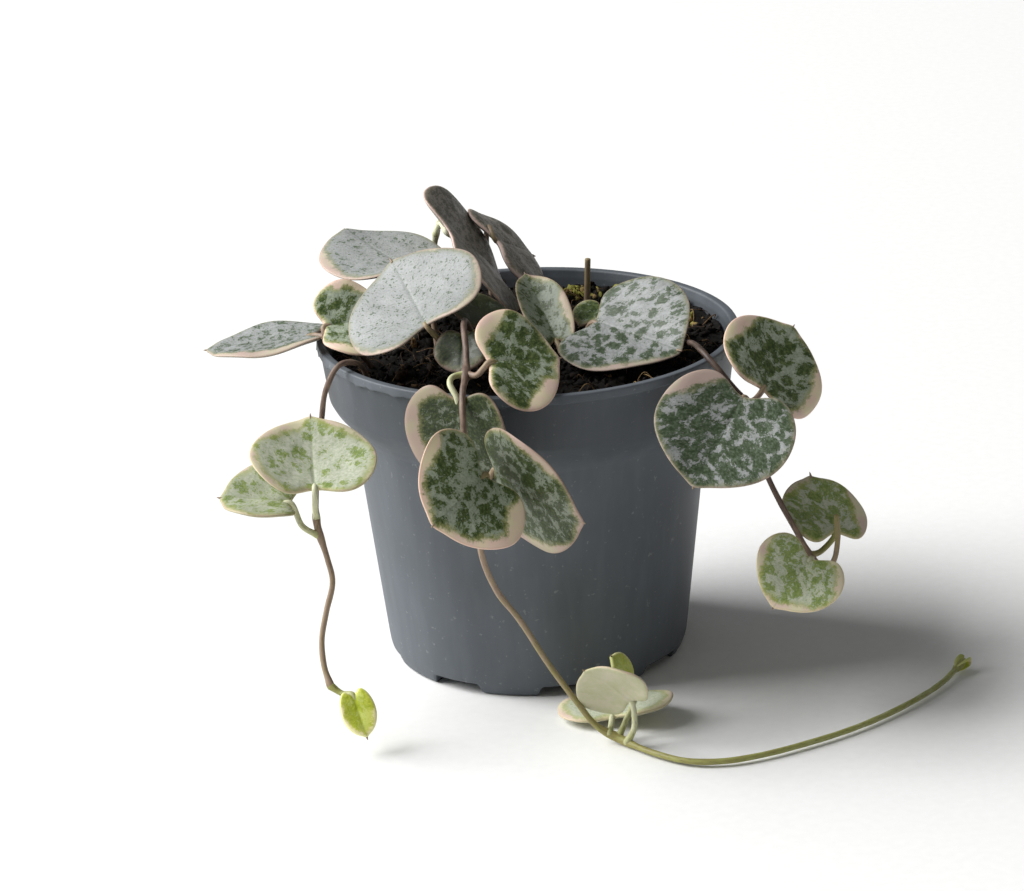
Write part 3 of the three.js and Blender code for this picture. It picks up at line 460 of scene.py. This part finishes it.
def pot_material():
    """Polypropylene, injection moulded, with a fine spark texture: matte grey, a little dusty. Painted shade
    darkens the collar.
    """
    material, tree = new_material("moulded_polypropylene")
    place = add(tree, "TexCoord").outputs["Object"]
    cloud = add(tree, "TexNoise", {"Vector": place, "Scale": per(14.0), "Detail": 3.0})
    flow = add(tree, "Mapping", {"Vector": place, "Scale": (1.0, 1.0, 0.12)})
    flow = add(tree, "TexNoise", {"Vector": flow.outputs[0], "Scale": per(2.5), "Detail": 4.0})
    spark = add(tree, "TexNoise", {"Vector": place, "Scale": per(0.35), "Detail": 2.0})
    dust = add(tree, "TexNoise", {"Vector": place, "Scale": per(0.9), "Detail": 2.0, "Roughness": 0.7})
    base = add(tree, "ValToRGB", {0: cloud.outputs[0]}, stops=[(0.35, "#51575d"), (0.65, "#5b6168")])
    streaks = add(tree, "MapRange", {0: flow.outputs[0], 1: 0.45, 2: 0.75, 4: 0.16})
    base = add(tree, "Mix", {0: streaks.outputs[0], 6: base.outputs[0], 7: linear("#7d8389")}, **RGBA)
    specks = add(tree, "MapRange", {0: dust.outputs[0], 1: 0.66, 2: 0.72, 4: 0.3})
    base = add(tree, "Mix", {0: specks.outputs[0], 6: base.outputs[2], 7: linear("#9a9c9a")}, **RGBA)
    # Painted shade: darker from the body's top up over the collar, fading out just under the lip's edge.
    height = add(tree, "SeparateXYZ", {0: place}).outputs[2]
    collar = add(tree, "MapRange", {0: height, 1: BODY_TOP * MM, 2: COLLAR_BOTTOM * MM, 4: 0.4})
    lip_edge = POT_HEIGHT - LIP_DEPTH
    lip = add(tree, "MapRange", {0: height, 1: (lip_edge - 0.4) * MM, 2: lip_edge * MM, 3: 1.0, 4: 0.0})
    painted_collar_shade = add(tree, "Math", {0: collar.outputs[0], 1: lip.outputs[0]}, operation="MULTIPLY")
    base = add(tree, "Mix", {0: painted_collar_shade.outputs[0], 6: base.outputs[2], 7: linear("#2f3338")}, **RGBA)
    gloss = add(tree, "MapRange", {0: cloud.outputs[0], 1: 0.3, 2: 0.7, 3: 0.5, 4: 0.62})
    bump = add(tree, "Bump", {"Height": spark.outputs[0], "Strength": 0.25, "Distance": 0.05 * MM})
    shader = add(tree, "BsdfPrincipled", {"Base Color": base.outputs[2], "Roughness": gloss.outputs[0],
                                          "Normal": bump.outputs[0], "IOR": 1.49})
    output(tree, shader)
    return material


def peat_material():
    """Moist peat with crumbs of bark and moss: the field crumb holds each crumb's own shade, from 0 (wet
    and nearly black) to 1 (dry and tan), and above 1 for moss."""
    material, tree = new_material("moist_peat")
    shade = add(tree, "Attribute", attribute_name="crumb").outputs["Fac"]
    place = add(tree, "TexCoord").outputs["Object"]
    grit = add(tree, "TexNoise", {"Vector": place, "Scale": per(0.5), "Detail": 3.0, "Roughness": 0.7})
    shift = add(tree, "MapRange", {0: grit.outputs[0], 1: 0.3, 2: 0.7, 3: -0.14, 4: 0.14})
    shade = add(tree, "Math", {0: shade, 1: shift.outputs[0]}, operation="ADD")
    shade = add(tree, "Math", {0: shade.outputs[0], 1: 0.5}, operation="MULTIPLY")
    colour = add(tree, "ValToRGB", {0: shade.outputs[0]}, stops=[
        (0.0, "#070503"), (0.15, "#150e08"), (0.3, "#2d1e12"), (0.42, "#5f4831"), (0.5, "#947a52"),
        (0.7, "#7f7c38"), (1.0, "#aaa954")])
    bump = add(tree, "Bump", {"Height": grit.outputs[0], "Strength": 0.6, "Distance": 0.2 * MM})
    shader = add(tree, "BsdfPrincipled", {"Base Color": colour.outputs[0], "Roughness": 0.9,
                                          "Normal": bump.outputs[0], "Specular IOR Level": 0.3})
    output(tree, shader)
    return material


def floor_material():
    """Seamless paper: matte white."""
    material, tree = new_material("seamless_paper")
    place = add(tree, "TexCoord").outputs["Object"]
    fibre = add(tree, "TexNoise", {"Vector": place, "Scale": per(1.5), "Detail": 2.0})
    colour = add(tree, "ValToRGB", {0: fibre.outputs[0]}, stops=[(0.3, "#f4f4f3"), (0.7, "#f7f7f6")])
    shader = add(tree, "BsdfPrincipled", {"Base Color": colour.outputs[0], "Roughness": 0.95,
                                          "Specular IOR Level": 0.1})
    output(tree, shader)
    return material


# ---- Leaves -------------------------------------------------------------------------------------
def heart_edge(leaf, angle):
    """Edge of the flat blade at a heading, 0 the tip and pi the notch: across = half the width·sin,
    tapered a little to the tip; along = a long and a short half oval, plus a bump that lifts the notch
    and a narrow one for the drawn-out tip."""
    s, c = np.sin(angle), np.cos(angle)
    length, middle = leaf["length"], 0.42 * leaf["length"]
    from_notch = np.arctan2(np.sin(angle - np.pi), np.cos(angle - np.pi)) / BLADE["notch_width"]
    from_tip = np.arctan2(s, c) / BLADE["tip_width"]
    reach = np.where(c > 0, length - middle, middle + BLADE["lobe"] * length)
    lifted = BLADE["lobe"] * length * np.exp(-from_notch**2) + BLADE["tip"] * length * np.exp(-from_tip**2)
    return leaf["width"] / 2 * s * (1 - 0.1 * np.maximum(c, 0) ** 2), middle + reach * c + lifted


def wrap(distance, lift, degrees_per_mm):
    """Wraps a distance and its lift round a circle that turns by so many degrees a millimetre."""
    rate = math.radians(degrees_per_mm or NEARLY_FLAT)
    angle = rate * distance
    return (1 / rate - lift) * np.sin(angle), (1 - np.cos(angle)) / rate + lift * np.cos(angle)


def bend(leaf, across, along, lift):
    """Folds each half about the midrib, rolls the blade about it, then arches it lengthwise."""
    fold, crease = math.radians(leaf["fold"]), 0.08 * leaf["width"]
    z = lift + math.tan(fold) * (np.hypot(across, crease) - crease)
    x = across * math.cos(fold)
    x, z = wrap(x, z, leaf["curl"] / leaf["width"])
    y, z = wrap(along, z, -leaf["droop"] / leaf["length"])
    return np.stack([x, y, z], axis=-1)


def leaf_axes(leaf):
    """The blade's right, tip and upper directions, as rows."""
    turn, rise, roll = (math.radians(leaf[key]) for key in ("turn", "rise", "roll"))
    tip = np.array([math.cos(turn) * math.cos(rise), math.sin(turn) * math.cos(rise), math.sin(rise)])
    level = np.array([math.sin(turn), -math.cos(turn), 0.0])
    right = level * math.cos(roll) + np.cross(level, tip) * math.sin(roll)
    return np.stack([right, tip, np.cross(right, tip)])


def in_place(leaf, across, along, lift):
    return np.array(leaf["at"], float) + bend(leaf, across, along, lift) @ leaf_axes(leaf)


def pale_depth(leaf, angle):
    """How deep the pale margin reaches at a heading: the deepest of its soft-ended stretches."""
    depth = np.zeros_like(angle)
    for heading, deep, spread in leaf["cream"]:
        away = angle - math.radians(heading)
        off = np.degrees(np.arctan2(np.sin(away), np.cos(away)))
        depth = np.maximum(depth, deep * np.exp(-(off / spread) ** 4))
    return depth


def blade_shell(leaf, number):
    """A heart-shaped pad. Point = middle + share·(edge - middle), with share running from 0 out to 1 on the
    upper face and back to 0 on the lower one; lift = half the thickness·root(1 - share^8), less a
    groove along the midrib above and plus a rib below, plus a slight wave towards the edge."""
    draw = np.random.default_rng(SEED + number)
    turn = np.linspace(0, 2 * np.pi, 168, endpoint=False)
    angle = (turn - 0.3 * np.sin(2 * turn))[None]                 # closer together at the tip and the notch
    out = 1 - (1 - np.linspace(0, 1, 30)) ** 1.5
    share = np.concatenate([out, out[-2::-1]])[:, None]
    side = np.concatenate([np.ones(30), -np.ones(29)])[:, None]
    edge_across, edge_along = heart_edge(leaf, angle)
    middle = 0.38 * leaf["length"]
    across, along = edge_across * share, middle + (edge_along - middle) * share
    size = math.sqrt(leaf["width"] * leaf["length"])
    half = leaf.get("thickness", BLADE["thickness"]) / 2 * np.sqrt(np.clip(1 - share**8, 0, 1))
    vein = np.exp(-(across / 0.3) ** 2) * np.clip(1.15 - along / leaf["length"], 0, 1) * (1 - share**6)
    lift = side * half - 0.1 * vein
    phases = draw.uniform(0, 2 * np.pi, 3)
    wave = sum(np.sin(count * angle + phase) for count, phase in zip((2, 3, 5), phases))
    lift = lift + 0.012 * size * wave * share**3
    lift = lift + 0.05 * ripple(across + 0 * angle, along, 4.0, SEED + number) * (1 - share**4)
    rows = in_place(leaf, across, along, lift)
    depth = (1 - share) * np.hypot(edge_across, edge_along - middle)
    chevron = along - 0.3 * np.abs(across)                        # side veins slant forward off the midrib
    blade = np.stack([across, chevron, 40.0 * number + 7.0 * side + 0 * across], axis=-1) * MM
    margin = np.stack([pale_depth(leaf, angle) - 0.05 - depth, depth, np.abs(across)], axis=-1)
    habit = np.stack([np.full_like(across, leaf["green"]), np.full_like(across, leaf["coarse"]),
                      np.clip(-side, 0, 1) + 0 * across], axis=-1)
    # shade: the leaf's brightness factor, partly its own tone and partly painted shade and light.
    return shell(rows, 0, blade=blade, margin=margin, habit=habit, shade=np.full_like(across, leaf["shade"]))


def stalk_shell(leaf, number):
    """The leaf's stalk, a little thicker where it meets the stem and thinning towards its end inside the
    blade.
    """
    inside = in_place(leaf, np.array(0.0), np.array(1.4), np.array(-0.05))
    centre, length = smooth_path([*leaf["stalk"], leaf["at"], inside.tolist()], 40)
    s = np.linspace(0, 1, 40)
    foot, thinned = np.exp(-(s * length / 0.9) ** 2), np.clip((s - 0.85) / 0.15, 0, 1)
    radius = STALK_RADIUS * (0.92 + 0.35 * foot - 0.35 * thinned)
    rows, keep = tube_rows(centre, radius, 14)
    around = np.linspace(0, 2.6, 14)
    along = (s * length * 0.3)[keep][:, None]
    stem = np.stack(np.broadcast_arrays(around[None], along, 9.0 * number), axis=-1)
    tone = np.broadcast_to((leaf["tone"] - 0.15 + 0.3 * s)[keep][:, None], rows.shape[:2])
    return shell(rows, 1, stem=stem * MM, tone=tone)


def mucro_shell(leaf):
    """The small stiff point at the tip of a leaf."""
    y = leaf["length"] * (1 + BLADE["tip"])
    s = np.linspace(0, 1, 8)
    centre = in_place(leaf, 0 * s, y - 0.45 + 0.85 * s, 0.08 * s**2)
    rows, _ = tube_rows(centre, 0.18 * (1 - s) ** 0.7 + 0.03, 10)
    tone = np.full(rows.shape[:2], 0.5)
    return shell(rows, 1, stem=rows * MM, tone=tone)


# ---- Stems --------------------------------------------------------------------------------------
def stem_shell(name, number):
    """A stem: radius eased from root to tip, a knot where each leaf leaves it, and slight unevenness."""
    stem = STEMS[name]
    _, length = smooth_path(stem["route"], 8)
    count = int(length / 0.45)
    centre, _ = smooth_path(stem["route"], count)
    s = np.linspace(0, 1, count)
    radius = stem["radius"][0] + (stem["radius"][1] - stem["radius"][0]) * s
    radius = radius * (1 + 0.05 * ripple(s * length, 0 * s, 5.0, SEED + number))
    for leaf in (leaf for leaf in LEAVES.values() if leaf.get("on") == name):
        nearest = np.linalg.norm(centre - np.array(leaf["stalk"][0]), axis=1)
        radius = radius + 0.16 * np.exp(-(nearest / 1.3) ** 2)
    rows, keep = tube_rows(centre, radius, 20, (0.2, 0.35 if name == "cut_stub" else 0.9))
    tone = np.interp(s, np.linspace(0, 1, len(stem["tone"])), stem["tone"])
    around = np.linspace(0, 3.1, 20)
    along = (s * length * 0.25)[keep][:, None]
    place = np.stack(np.broadcast_arrays(around[None], along, 9.0 * number), axis=-1)
    return shell(rows, 0, stem=place * MM, tone=np.broadcast_to(tone[keep][:, None], rows.shape[:2]))


def bud_shells():
    """The growing tip that trails furthest: a pair of folded leaflets round a pointed core. Each leaflet
    is a small blade of the same heart formula."""
    start, end = np.array([58.4, -19.8, 1.1]), np.array([60.6, -16.4, 1.7])
    s = np.linspace(0, 1, 24)
    centre = start + (end - start) * (0.02 + 0.7 * s)[:, None]
    rows, _ = tube_rows(centre, 0.62 * np.sin(np.pi * (0.22 + 0.7 * s)) ** 0.7 + 0.04, 16)
    core = shell(rows, 1, stem=rows * MM, tone=np.full(rows.shape[:2], 1.0))
    heading = math.degrees(math.atan2(end[1] - start[1], end[0] - start[0]))
    leaflet = dict(width=2.2, length=3.2, curl=90, droop=-8, fold=30, thickness=0.35, green=0.4, coarse=0.3,
                   shade=1.1, cream=[(0, 0.5, 60)])
    shells = [core]
    for number, (roll, turn, rise) in enumerate([(80, heading + 6, 10), (-85, heading - 7, 6)], 31):
        pad = dict(leaflet, at=tuple(start + np.array([0.35, 0.45, 0.15])), turn=turn, rise=rise, roll=roll)
        shells.append(blade_shell(pad, number))
    return shells


# ---- Pot ----------------------------------------------------------------------------------------
def pot_wall(height):
    """Inside radius of the pot at a height: the outside's straight tapers less the wall there."""
    outside = np.interp(height, [CORNER_HEIGHT, BODY_TOP, COLLAR_BOTTOM, POT_HEIGHT],
                        [CORNER_RADIUS, BODY_RADIUS, COLLAR_RADIUS, RIM_RADIUS])
    return outside - np.where(np.asarray(height) > BODY_TOP, LIP_WIDTH, WALL)


def softened(corners, radii, steps=5):
    """Rounds each corner of an open outline: the corner becomes a curve whose point at t is
    (1-t)²·before + 2t(1-t)·corner + t²·after, with before and after a radius away along its sides."""
    corners, radii = np.array(corners, float), np.array(radii, float)
    previous, following = corners[:-2] - corners[1:-1], corners[2:] - corners[1:-1]
    reach = np.minimum(radii[1:-1], 0.45 * np.minimum(np.linalg.norm(previous, axis=1),
                                                      np.linalg.norm(following, axis=1)))[:, None]
    before, after = corners[1:-1] + reach * unit(previous), corners[1:-1] + reach * unit(following)
    t = np.linspace(0, 1, steps)[None, :, None]
    curve = (1 - t) ** 2 * before[:, None] + 2 * t * (1 - t) * corners[1:-1, None] + t**2 * after[:, None]
    return np.vstack([corners[:1], curve.reshape(-1, 2), corners[-1:]])


def pot_shell():
    """The pot's outline turned about its axis: outside from the underside up to the lip, then the inside
    down to the floor. Low points of the foot are lifted to the notch's height where a notch crosses, and
    the lip's lower edge carries an uneven thread of moulding flash."""
    foot_inside, floor_top = FOOT_RADIUS - FOOT_WIDTH, FLOOR_HEIGHT + FLOOR_THICKNESS
    outline = [
        (0, FLOOR_HEIGHT, 0), (foot_inside - 1, FLOOR_HEIGHT, 0.3), (foot_inside, 0, 0.3),
        (FOOT_RADIUS - 0.4, 0, 0.2), (FOOT_RADIUS, 0.4, 0.4), (CORNER_RADIUS - 0.2, 1.9, 0.6),
        (CORNER_RADIUS, CORNER_HEIGHT, 0.9), (BODY_RADIUS, BODY_TOP, 0.2),
        (BODY_RADIUS + 0.7, BODY_TOP + 1.2, 0.3),
        (COLLAR_RADIUS - 0.8, COLLAR_BOTTOM - 1, 0.4), (COLLAR_RADIUS, COLLAR_BOTTOM + 0.4, 0.3),
        (RIM_RADIUS - 0.45, POT_HEIGHT - LIP_DEPTH - 0.25, 0.15), (RIM_RADIUS, POT_HEIGHT - LIP_DEPTH, 0.12),
        (RIM_RADIUS, POT_HEIGHT, 0.3), (RIM_RADIUS - LIP_WIDTH, POT_HEIGHT, 0.35),
        (COLLAR_RADIUS - LIP_WIDTH, COLLAR_BOTTOM, 0.6), (BODY_RADIUS - WALL, BODY_TOP, 0.6),
        (CORNER_RADIUS - WALL, CORNER_HEIGHT, 0.5), (CORNER_RADIUS - WALL - FLOOR_CORNER, floor_top, 0.4),
        (0, floor_top, 0),
    ]
    outline = np.array(outline)
    profile = softened(outline[:, :2], outline[:, 2])
    heading = np.linspace(0, 2 * np.pi, 540, endpoint=False)[None]          # 0 = -Y, towards +X
    radius, height = profile[:, :1] + 0 * heading, profile[:, 1:] + 0 * heading
    half = FOOT_RADIUS * math.sin(math.radians(FEET["notch_angle"] / 2))
    step = 2 * np.pi / FEET["count"]
    from_notch = (heading - math.radians(FEET["first_notch"]) + step / 2) % step - step / 2
    aside = np.abs(radius * np.sin(from_notch)) - half
    lifted = np.clip(FEET["height"] - aside * (FEET["height"] + 1) / FEET["slope"], 0, FEET["height"])
    height = np.maximum(height, lifted)
    circle = 30 * np.sin(heading), -30 * np.cos(heading)
    thread = np.clip(ripple(*circle, 3.5, SEED + 80) + 0.5 * ripple(*circle, 1.2, SEED + 81), 0, 1.5)
    where = np.exp(-((height - (POT_HEIGHT - LIP_DEPTH)) / 0.25) ** 2) * (profile[:, :1] > RIM_RADIUS - 0.3)
    radius = radius + 0.12 * thread * where
    height = height - 0.3 * thread * where
    oval = 1 + 0.0015 * np.sin(2 * heading + 0.7) * (height / POT_HEIGHT) ** 2
    rows = np.stack([radius * oval * np.sin(heading), -radius * oval * np.cos(heading), height], axis=-1)
    return shell(rows)


def drill(made, holes):
    """Cuts round drain holes through a piece, and leaves the result in its own mesh."""
    draw = []
    for x, y in holes:
        a = np.linspace(0, 2 * np.pi, 48, endpoint=False)[None, :]
        radius = np.array([0, 1, 1, 0])[:, None] * DRAIN["radius"]
        height = np.array([-1, -1, 1, 1])[:, None] * 2.5 * FLOOR_THICKNESS + FLOOR_HEIGHT + 0 * a
        draw.append(shell(np.stack([x + radius * np.cos(a), y + radius * np.sin(a), height], axis=-1)))
    mesh = bpy.data.meshes.new("drills")
    base = np.cumsum([0] + [len(part["points"]) for part in draw])
    faces = []
    for part, first in zip(draw, base):
        faces += (part["quads"] + first).tolist() + (part["caps"] + first).tolist()
    mesh.from_pydata(np.concatenate([part["points"] for part in draw]) * MM + POT_AXIS, [], faces)
    drills = bpy.data.objects.new("drills", mesh)
    bpy.context.scene.collection.objects.link(drills)
    cut = made.modifiers.new("drain_holes", "BOOLEAN")
    cut.operation, cut.solver, cut.object = "DIFFERENCE", "EXACT", drills
    graph = bpy.context.evaluated_depsgraph_get()
    pierced = bpy.data.meshes.new_from_object(made.evaluated_get(graph))
    made.modifiers.clear()
    made.data = pierced
    bpy.data.objects.remove(drills)


# ---- Peat ---------------------------------------------------------------------------------------
def soil_height(x, y):
    """Height of the peat: its level, raised towards the back right, with low lumps."""
    out = np.hypot(x, y) / RIM_RADIUS
    rear = np.clip(0.35 + (0.6 * y + 0.45 * x) / RIM_RADIUS, 0, 1)
    lumps = np.sin(0.55 * x + 1.3) * np.cos(0.48 * y - 0.4) + 0.6 * np.sin(0.9 * x - 0.7 * y)
    return SOIL["level"] + SOIL["back_rise"] * out**2 * rear + SOIL["lump"] * lumps


def soil_shell():
    """The root ball: the pot's inside at each height with a little air, closed on top by the peat's own
    height plus fine ripples at three sizes."""
    a = np.linspace(0, 2 * np.pi, 200, endpoint=False)[None]
    floor = FLOOR_HEIGHT + FLOOR_THICKNESS + 0.15
    levels = np.array([floor, floor, CORNER_HEIGHT + 0.3, 15, 25, BODY_TOP, COLLAR_BOTTOM, 42])[:, None]
    radius = pot_wall(np.maximum(levels, CORNER_HEIGHT)) - 0.12
    radius[0], radius[1] = 0.0, radius[1] - FLOOR_CORNER
    side = np.stack([radius * np.cos(a), radius * np.sin(a), levels + 0 * a], axis=-1)
    share = np.concatenate([np.linspace(1, 0.02, 90), [0]])[:, None]
    edge = float(pot_wall(np.array(SOIL["level"]))) - 0.1
    x, y = edge * share * np.cos(a), edge * share * np.sin(a)
    waves = [(0.25, 3.0), (0.18, 1.3), (0.1, 0.7)]                # height and size of each ripple
    fine = sum(high * ripple(x, y, size, SEED + k) for k, (high, size) in enumerate(waves, 1))
    top = np.stack([x, y, soil_height(x, y) + fine * np.clip((1 - share) * 25, 0.2, 1)], axis=-1)
    rows = np.concatenate([side, top])
    shade = 0.08 + 0.12 * ripple(rows[..., 0], rows[..., 1], 2.0, SEED + 4)
    return shell(rows, crumb=np.clip(shade, 0.02, 0.4))


def crumb_shells():
    """Crumbs of peat, bark and moss: one small rough ball, copied, stretched, turned and scattered. A ball
    is rows of points on a sphere, each pushed in or out by its own random share."""
    draw = np.random.default_rng(SEED + 5)
    moss_beds = [(-7.5, -24.5, 2.2, 26), (7.2, 23.5, 2.6, 34), (14.5, 22.5, 2.0, 22), (22.5, 9.5, 2.8, 30),
                 (19.5, 4.5, 2.0, 16), (-4.0, -22.5, 1.5, 12), (11.5, 14.5, 1.6, 14)]
    count = 2700
    radius, heading = 28.2 * np.sqrt(draw.uniform(0, 1, count)), draw.uniform(0, 2 * np.pi, count)
    x, y = radius * np.cos(heading), radius * np.sin(heading)
    size = np.exp(draw.normal(math.log(0.26), 0.45, count)).clip(0.12, 1.0)
    shade = np.clip(draw.normal(0.16, 0.14, count), 0.0, 0.85)
    shade = np.where(draw.uniform(0, 1, count) < 0.05, draw.uniform(0.75, 1.0, count), shade)
    for bed_x, bed_y, spread, tufts in moss_beds:
        x = np.append(x, bed_x + draw.normal(0, spread / 2, tufts))
        y = np.append(y, bed_y + draw.normal(0, spread / 2, tufts))
        size = np.append(size, draw.uniform(0.2, 0.5, tufts))
        shade = np.append(shade, draw.uniform(1.0, 1.9, tufts))
    far = np.hypot(x, y)
    room = np.minimum(1, (28.4 - size) / np.maximum(far, 1e-6))
    x, y = x * room, y * room
    total = len(x)
    z = soil_height(x, y) + size * draw.uniform(-0.1, 0.5, total) + 0.25 * (shade > 1.0)
    lat, lon = np.linspace(0, np.pi, 6)[:, None], np.linspace(0, 2 * np.pi, 8, endpoint=False)[None]
    ball = np.stack([np.sin(lat) * np.cos(lon), np.sin(lat) * np.sin(lon), np.cos(lat) + 0 * lon], axis=-1)
    rough = draw.uniform(0.55, 1.3, (total, 6, 8, 1))
    stretch = draw.uniform(0.45, 1.7, (total, 1, 1, 3))
    turned = np.linalg.qr(draw.normal(size=(total, 3, 3)))[0]
    grains = np.einsum("nabk,nkl->nabl", ball[None] * rough * stretch, turned) * size[:, None, None, None]
    grains = grains + np.stack([x, y, z], axis=-1)[:, None, None]
    return [shell(rows, crumb=np.full(rows.shape[:2], tone)) for rows, tone in zip(grains, shade)]


def fibre_shells():
    """Root hairs and coir on the peat: thin tubes along short arcs that start and end in the peat."""
    draw = np.random.default_rng(SEED + 6)
    shells = []
    s = np.linspace(0, 1, 9)
    for _ in range(230):
        out, heading = 27.0 * math.sqrt(draw.uniform(0, 1)), draw.uniform(0, 2 * np.pi)
        way, swing = draw.uniform(0, 2 * np.pi), draw.normal(0, 1.2)
        length, thickness, arch = draw.uniform(1.5, 5.5), draw.uniform(0.035, 0.09), draw.uniform(0.2, 1.3)
        turn = way + swing * s
        x = out * math.cos(heading) + np.cumsum(np.cos(turn)) * length / 9
        y = out * math.sin(heading) + np.cumsum(np.sin(turn)) * length / 9
        inside = np.minimum(1, 28.2 / np.hypot(x, y))
        x, y = x * inside, y * inside
        z = soil_height(x, y) + 0.25 + arch * np.sin(np.pi * s)
        rows, _ = tube_rows(np.stack([x, y, z], axis=-1), np.full(9, thickness), 6)
        shells.append(shell(rows, crumb=np.full(rows.shape[:2], draw.uniform(0.45, 1.0))))
    return shells


SKINS = {
    # Silver form: nearly all of the skin has air under it.
    "silver": leaf_material(
        "waxy_silver_skin", silver=("#a6aaa5", "#cccfcf"), patch=("#3f4f33", "#56664b", "#788770"),
        cream="#e3d9c0", blush="#e3cabd", halo="#a0a57c", rim="#d9bfae", underside=("#8d8f7c", "#a89a90")),
    # Green form: dark patches with grey-green between them.
    "green": leaf_material(
        "waxy_green_skin", silver=("#808c74", "#a9b1a0"), patch=("#2a3a1a", "#425129", "#667447"),
        cream="#dfd3b2", blush="#e0c6b6", halo="#a3a46a", rim="#d0ab9c", underside=("#7c8266", "#9a8a80")),
    # Cream form: new leaves with little green.
    "cream": leaf_material(
        "waxy_cream_skin", silver=("#b9c4a4", "#dde0cd"), patch=("#728a42", "#8da05a", "#a9b876"),
        cream="#e9e2bf", blush="#e6cfc0", halo="#b9bd6c", rim="#d8c7a0", underside=("#c3c49a", "#d2cdb2")),
    # Old leaves with a dusky brown flush over the green.
    "dusky": leaf_material(
        "waxy_dusky_skin", silver=("#807a70", "#9d978e"), patch=("#45453a", "#57554a", "#6d695d"),
        cream="#e0d0c4", blush="#e0c4ba", halo="#a39a84", rim="#dcbfb6", underside=("#8d8678", "#a3978c")),
    # Young form: the smallest leaves at the growing tips.
    "young": leaf_material(
        "waxy_young_skin", silver=("#b5bf5a", "#c9d07c"), patch=("#8f9c22", "#a5b234", "#bcc552"),
        cream="#e8e1a8", blush="#e6dab0", halo="#bcc04a", rim="#dfe0a4", underside=("#b3bb5e", "#c6ca84")),
}
BARK = stem_material("brown_to_green_stem_skin", [
    (0.0, "#3d2e26"), (0.17, "#6b584d"), (0.33, "#a08a76"), (0.5, "#8f8650"), (0.67, "#a3a660"),
    (0.83, "#c3c49a"), (1.0, "#dcdcc4")])

for number, (label, leaf) in enumerate(LEAVES.items(), 1):
    node = f"leaf_{label}"
    piece(f"heart_{label}", [blade_shell(leaf, number), stalk_shell(leaf, number), mucro_shell(leaf)],
          [SKINS[leaf["kind"]], BARK], node)
for number, node in enumerate(STEMS, 41):
    piece(f"stem_of_{node}", [stem_shell(node, number)], [BARK], node)
piece("growing_tip", bud_shells(), [SKINS["young"], BARK], "bud_trailing")

PEAT = peat_material()
piece("root_ball", [soil_shell()], [PEAT], "potting_soil")
piece("peat_crumbs", crumb_shells(), [PEAT], None)
piece("peat_fibres", fibre_shells(), [PEAT], None)

ring = np.linspace(0, 2 * np.pi, DRAIN["count"], endpoint=False)
drains = [(0.0, 0.0), *zip(DRAIN["ring"] * np.cos(ring), DRAIN["ring"] * np.sin(ring))]
drill(piece("nursery_pot", [pot_shell()], [pot_material()], "pot"), drains)

# ---- Studio -------------------------------------------------------------------------------------
bpy.ops.mesh.primitive_plane_add(size=12.0, location=(0, 0, -0.00002))
floor = bpy.context.object
floor.name = "studio_floor"
floor.data.materials.append(floor_material())


def soft_light(name, direction, distance, size, power, colour="#ffffff"):
    """A square light that faces the plant from a direction."""
    lamp = bpy.data.lights.new(name, "AREA")
    lamp.size, lamp.energy, lamp.color = size, power, linear(colour)[:3]
    holder = bpy.data.objects.new(name, lamp)
    aim = Vector((POT_AXIS[0], POT_AXIS[1], 0.035))
    holder.location = aim + Vector(direction).normalized() * distance
    holder.rotation_euler = (aim - holder.location).to_track_quat("-Z", "Y").to_euler()
    bpy.context.scene.collection.objects.link(holder)


soft_light("key_window", (-1.0, 0.12, 0.8), 2.5, 1.9, 118.0)

world = bpy.data.worlds.new("studio")
world.use_nodes = True
backdrop = world.node_tree.nodes["Background"]
backdrop.inputs["Color"].default_value = (1.0, 1.0, 1.0, 1.0)
backdrop.inputs["Strength"].default_value = 0.15
bpy.context.scene.world = world
bpy.context.scene.view_settings.view_transform = "Standard"

# The camera looks down at the pot's middle from the front, through a long lens.
PITCH, ROLL, DISTANCE = math.radians(19.55), math.radians(-2.28), 600.0
AIM = np.array([-2.84, 0.0, 30.3])
ahead = np.array([0.0, math.cos(PITCH), -math.sin(PITCH)])
level, above = np.array([1.0, 0.0, 0.0]), np.array([0.0, math.sin(PITCH), math.cos(PITCH)])
right = math.cos(ROLL) * level + math.sin(ROLL) * above
upward = -math.sin(ROLL) * level + math.cos(ROLL) * above
eye = (AIM - DISTANCE * ahead) * MM + POT_AXIS
lens = bpy.data.cameras.new("camera")
lens.sensor_width, lens.lens = 36.0, 147.2
lens.clip_start, lens.clip_end = 0.01, 50.0
camera = bpy.data.objects.new("camera", lens)
camera.matrix_world = Matrix([[*map(float, row), float(at)] for row, at in zip(
    np.stack([right, upward, -ahead], axis=1), eye)] + [[0.0, 0.0, 0.0, 1.0]])
bpy.context.scene.collection.objects.link(camera)
bpy.context.scene.camera = camera
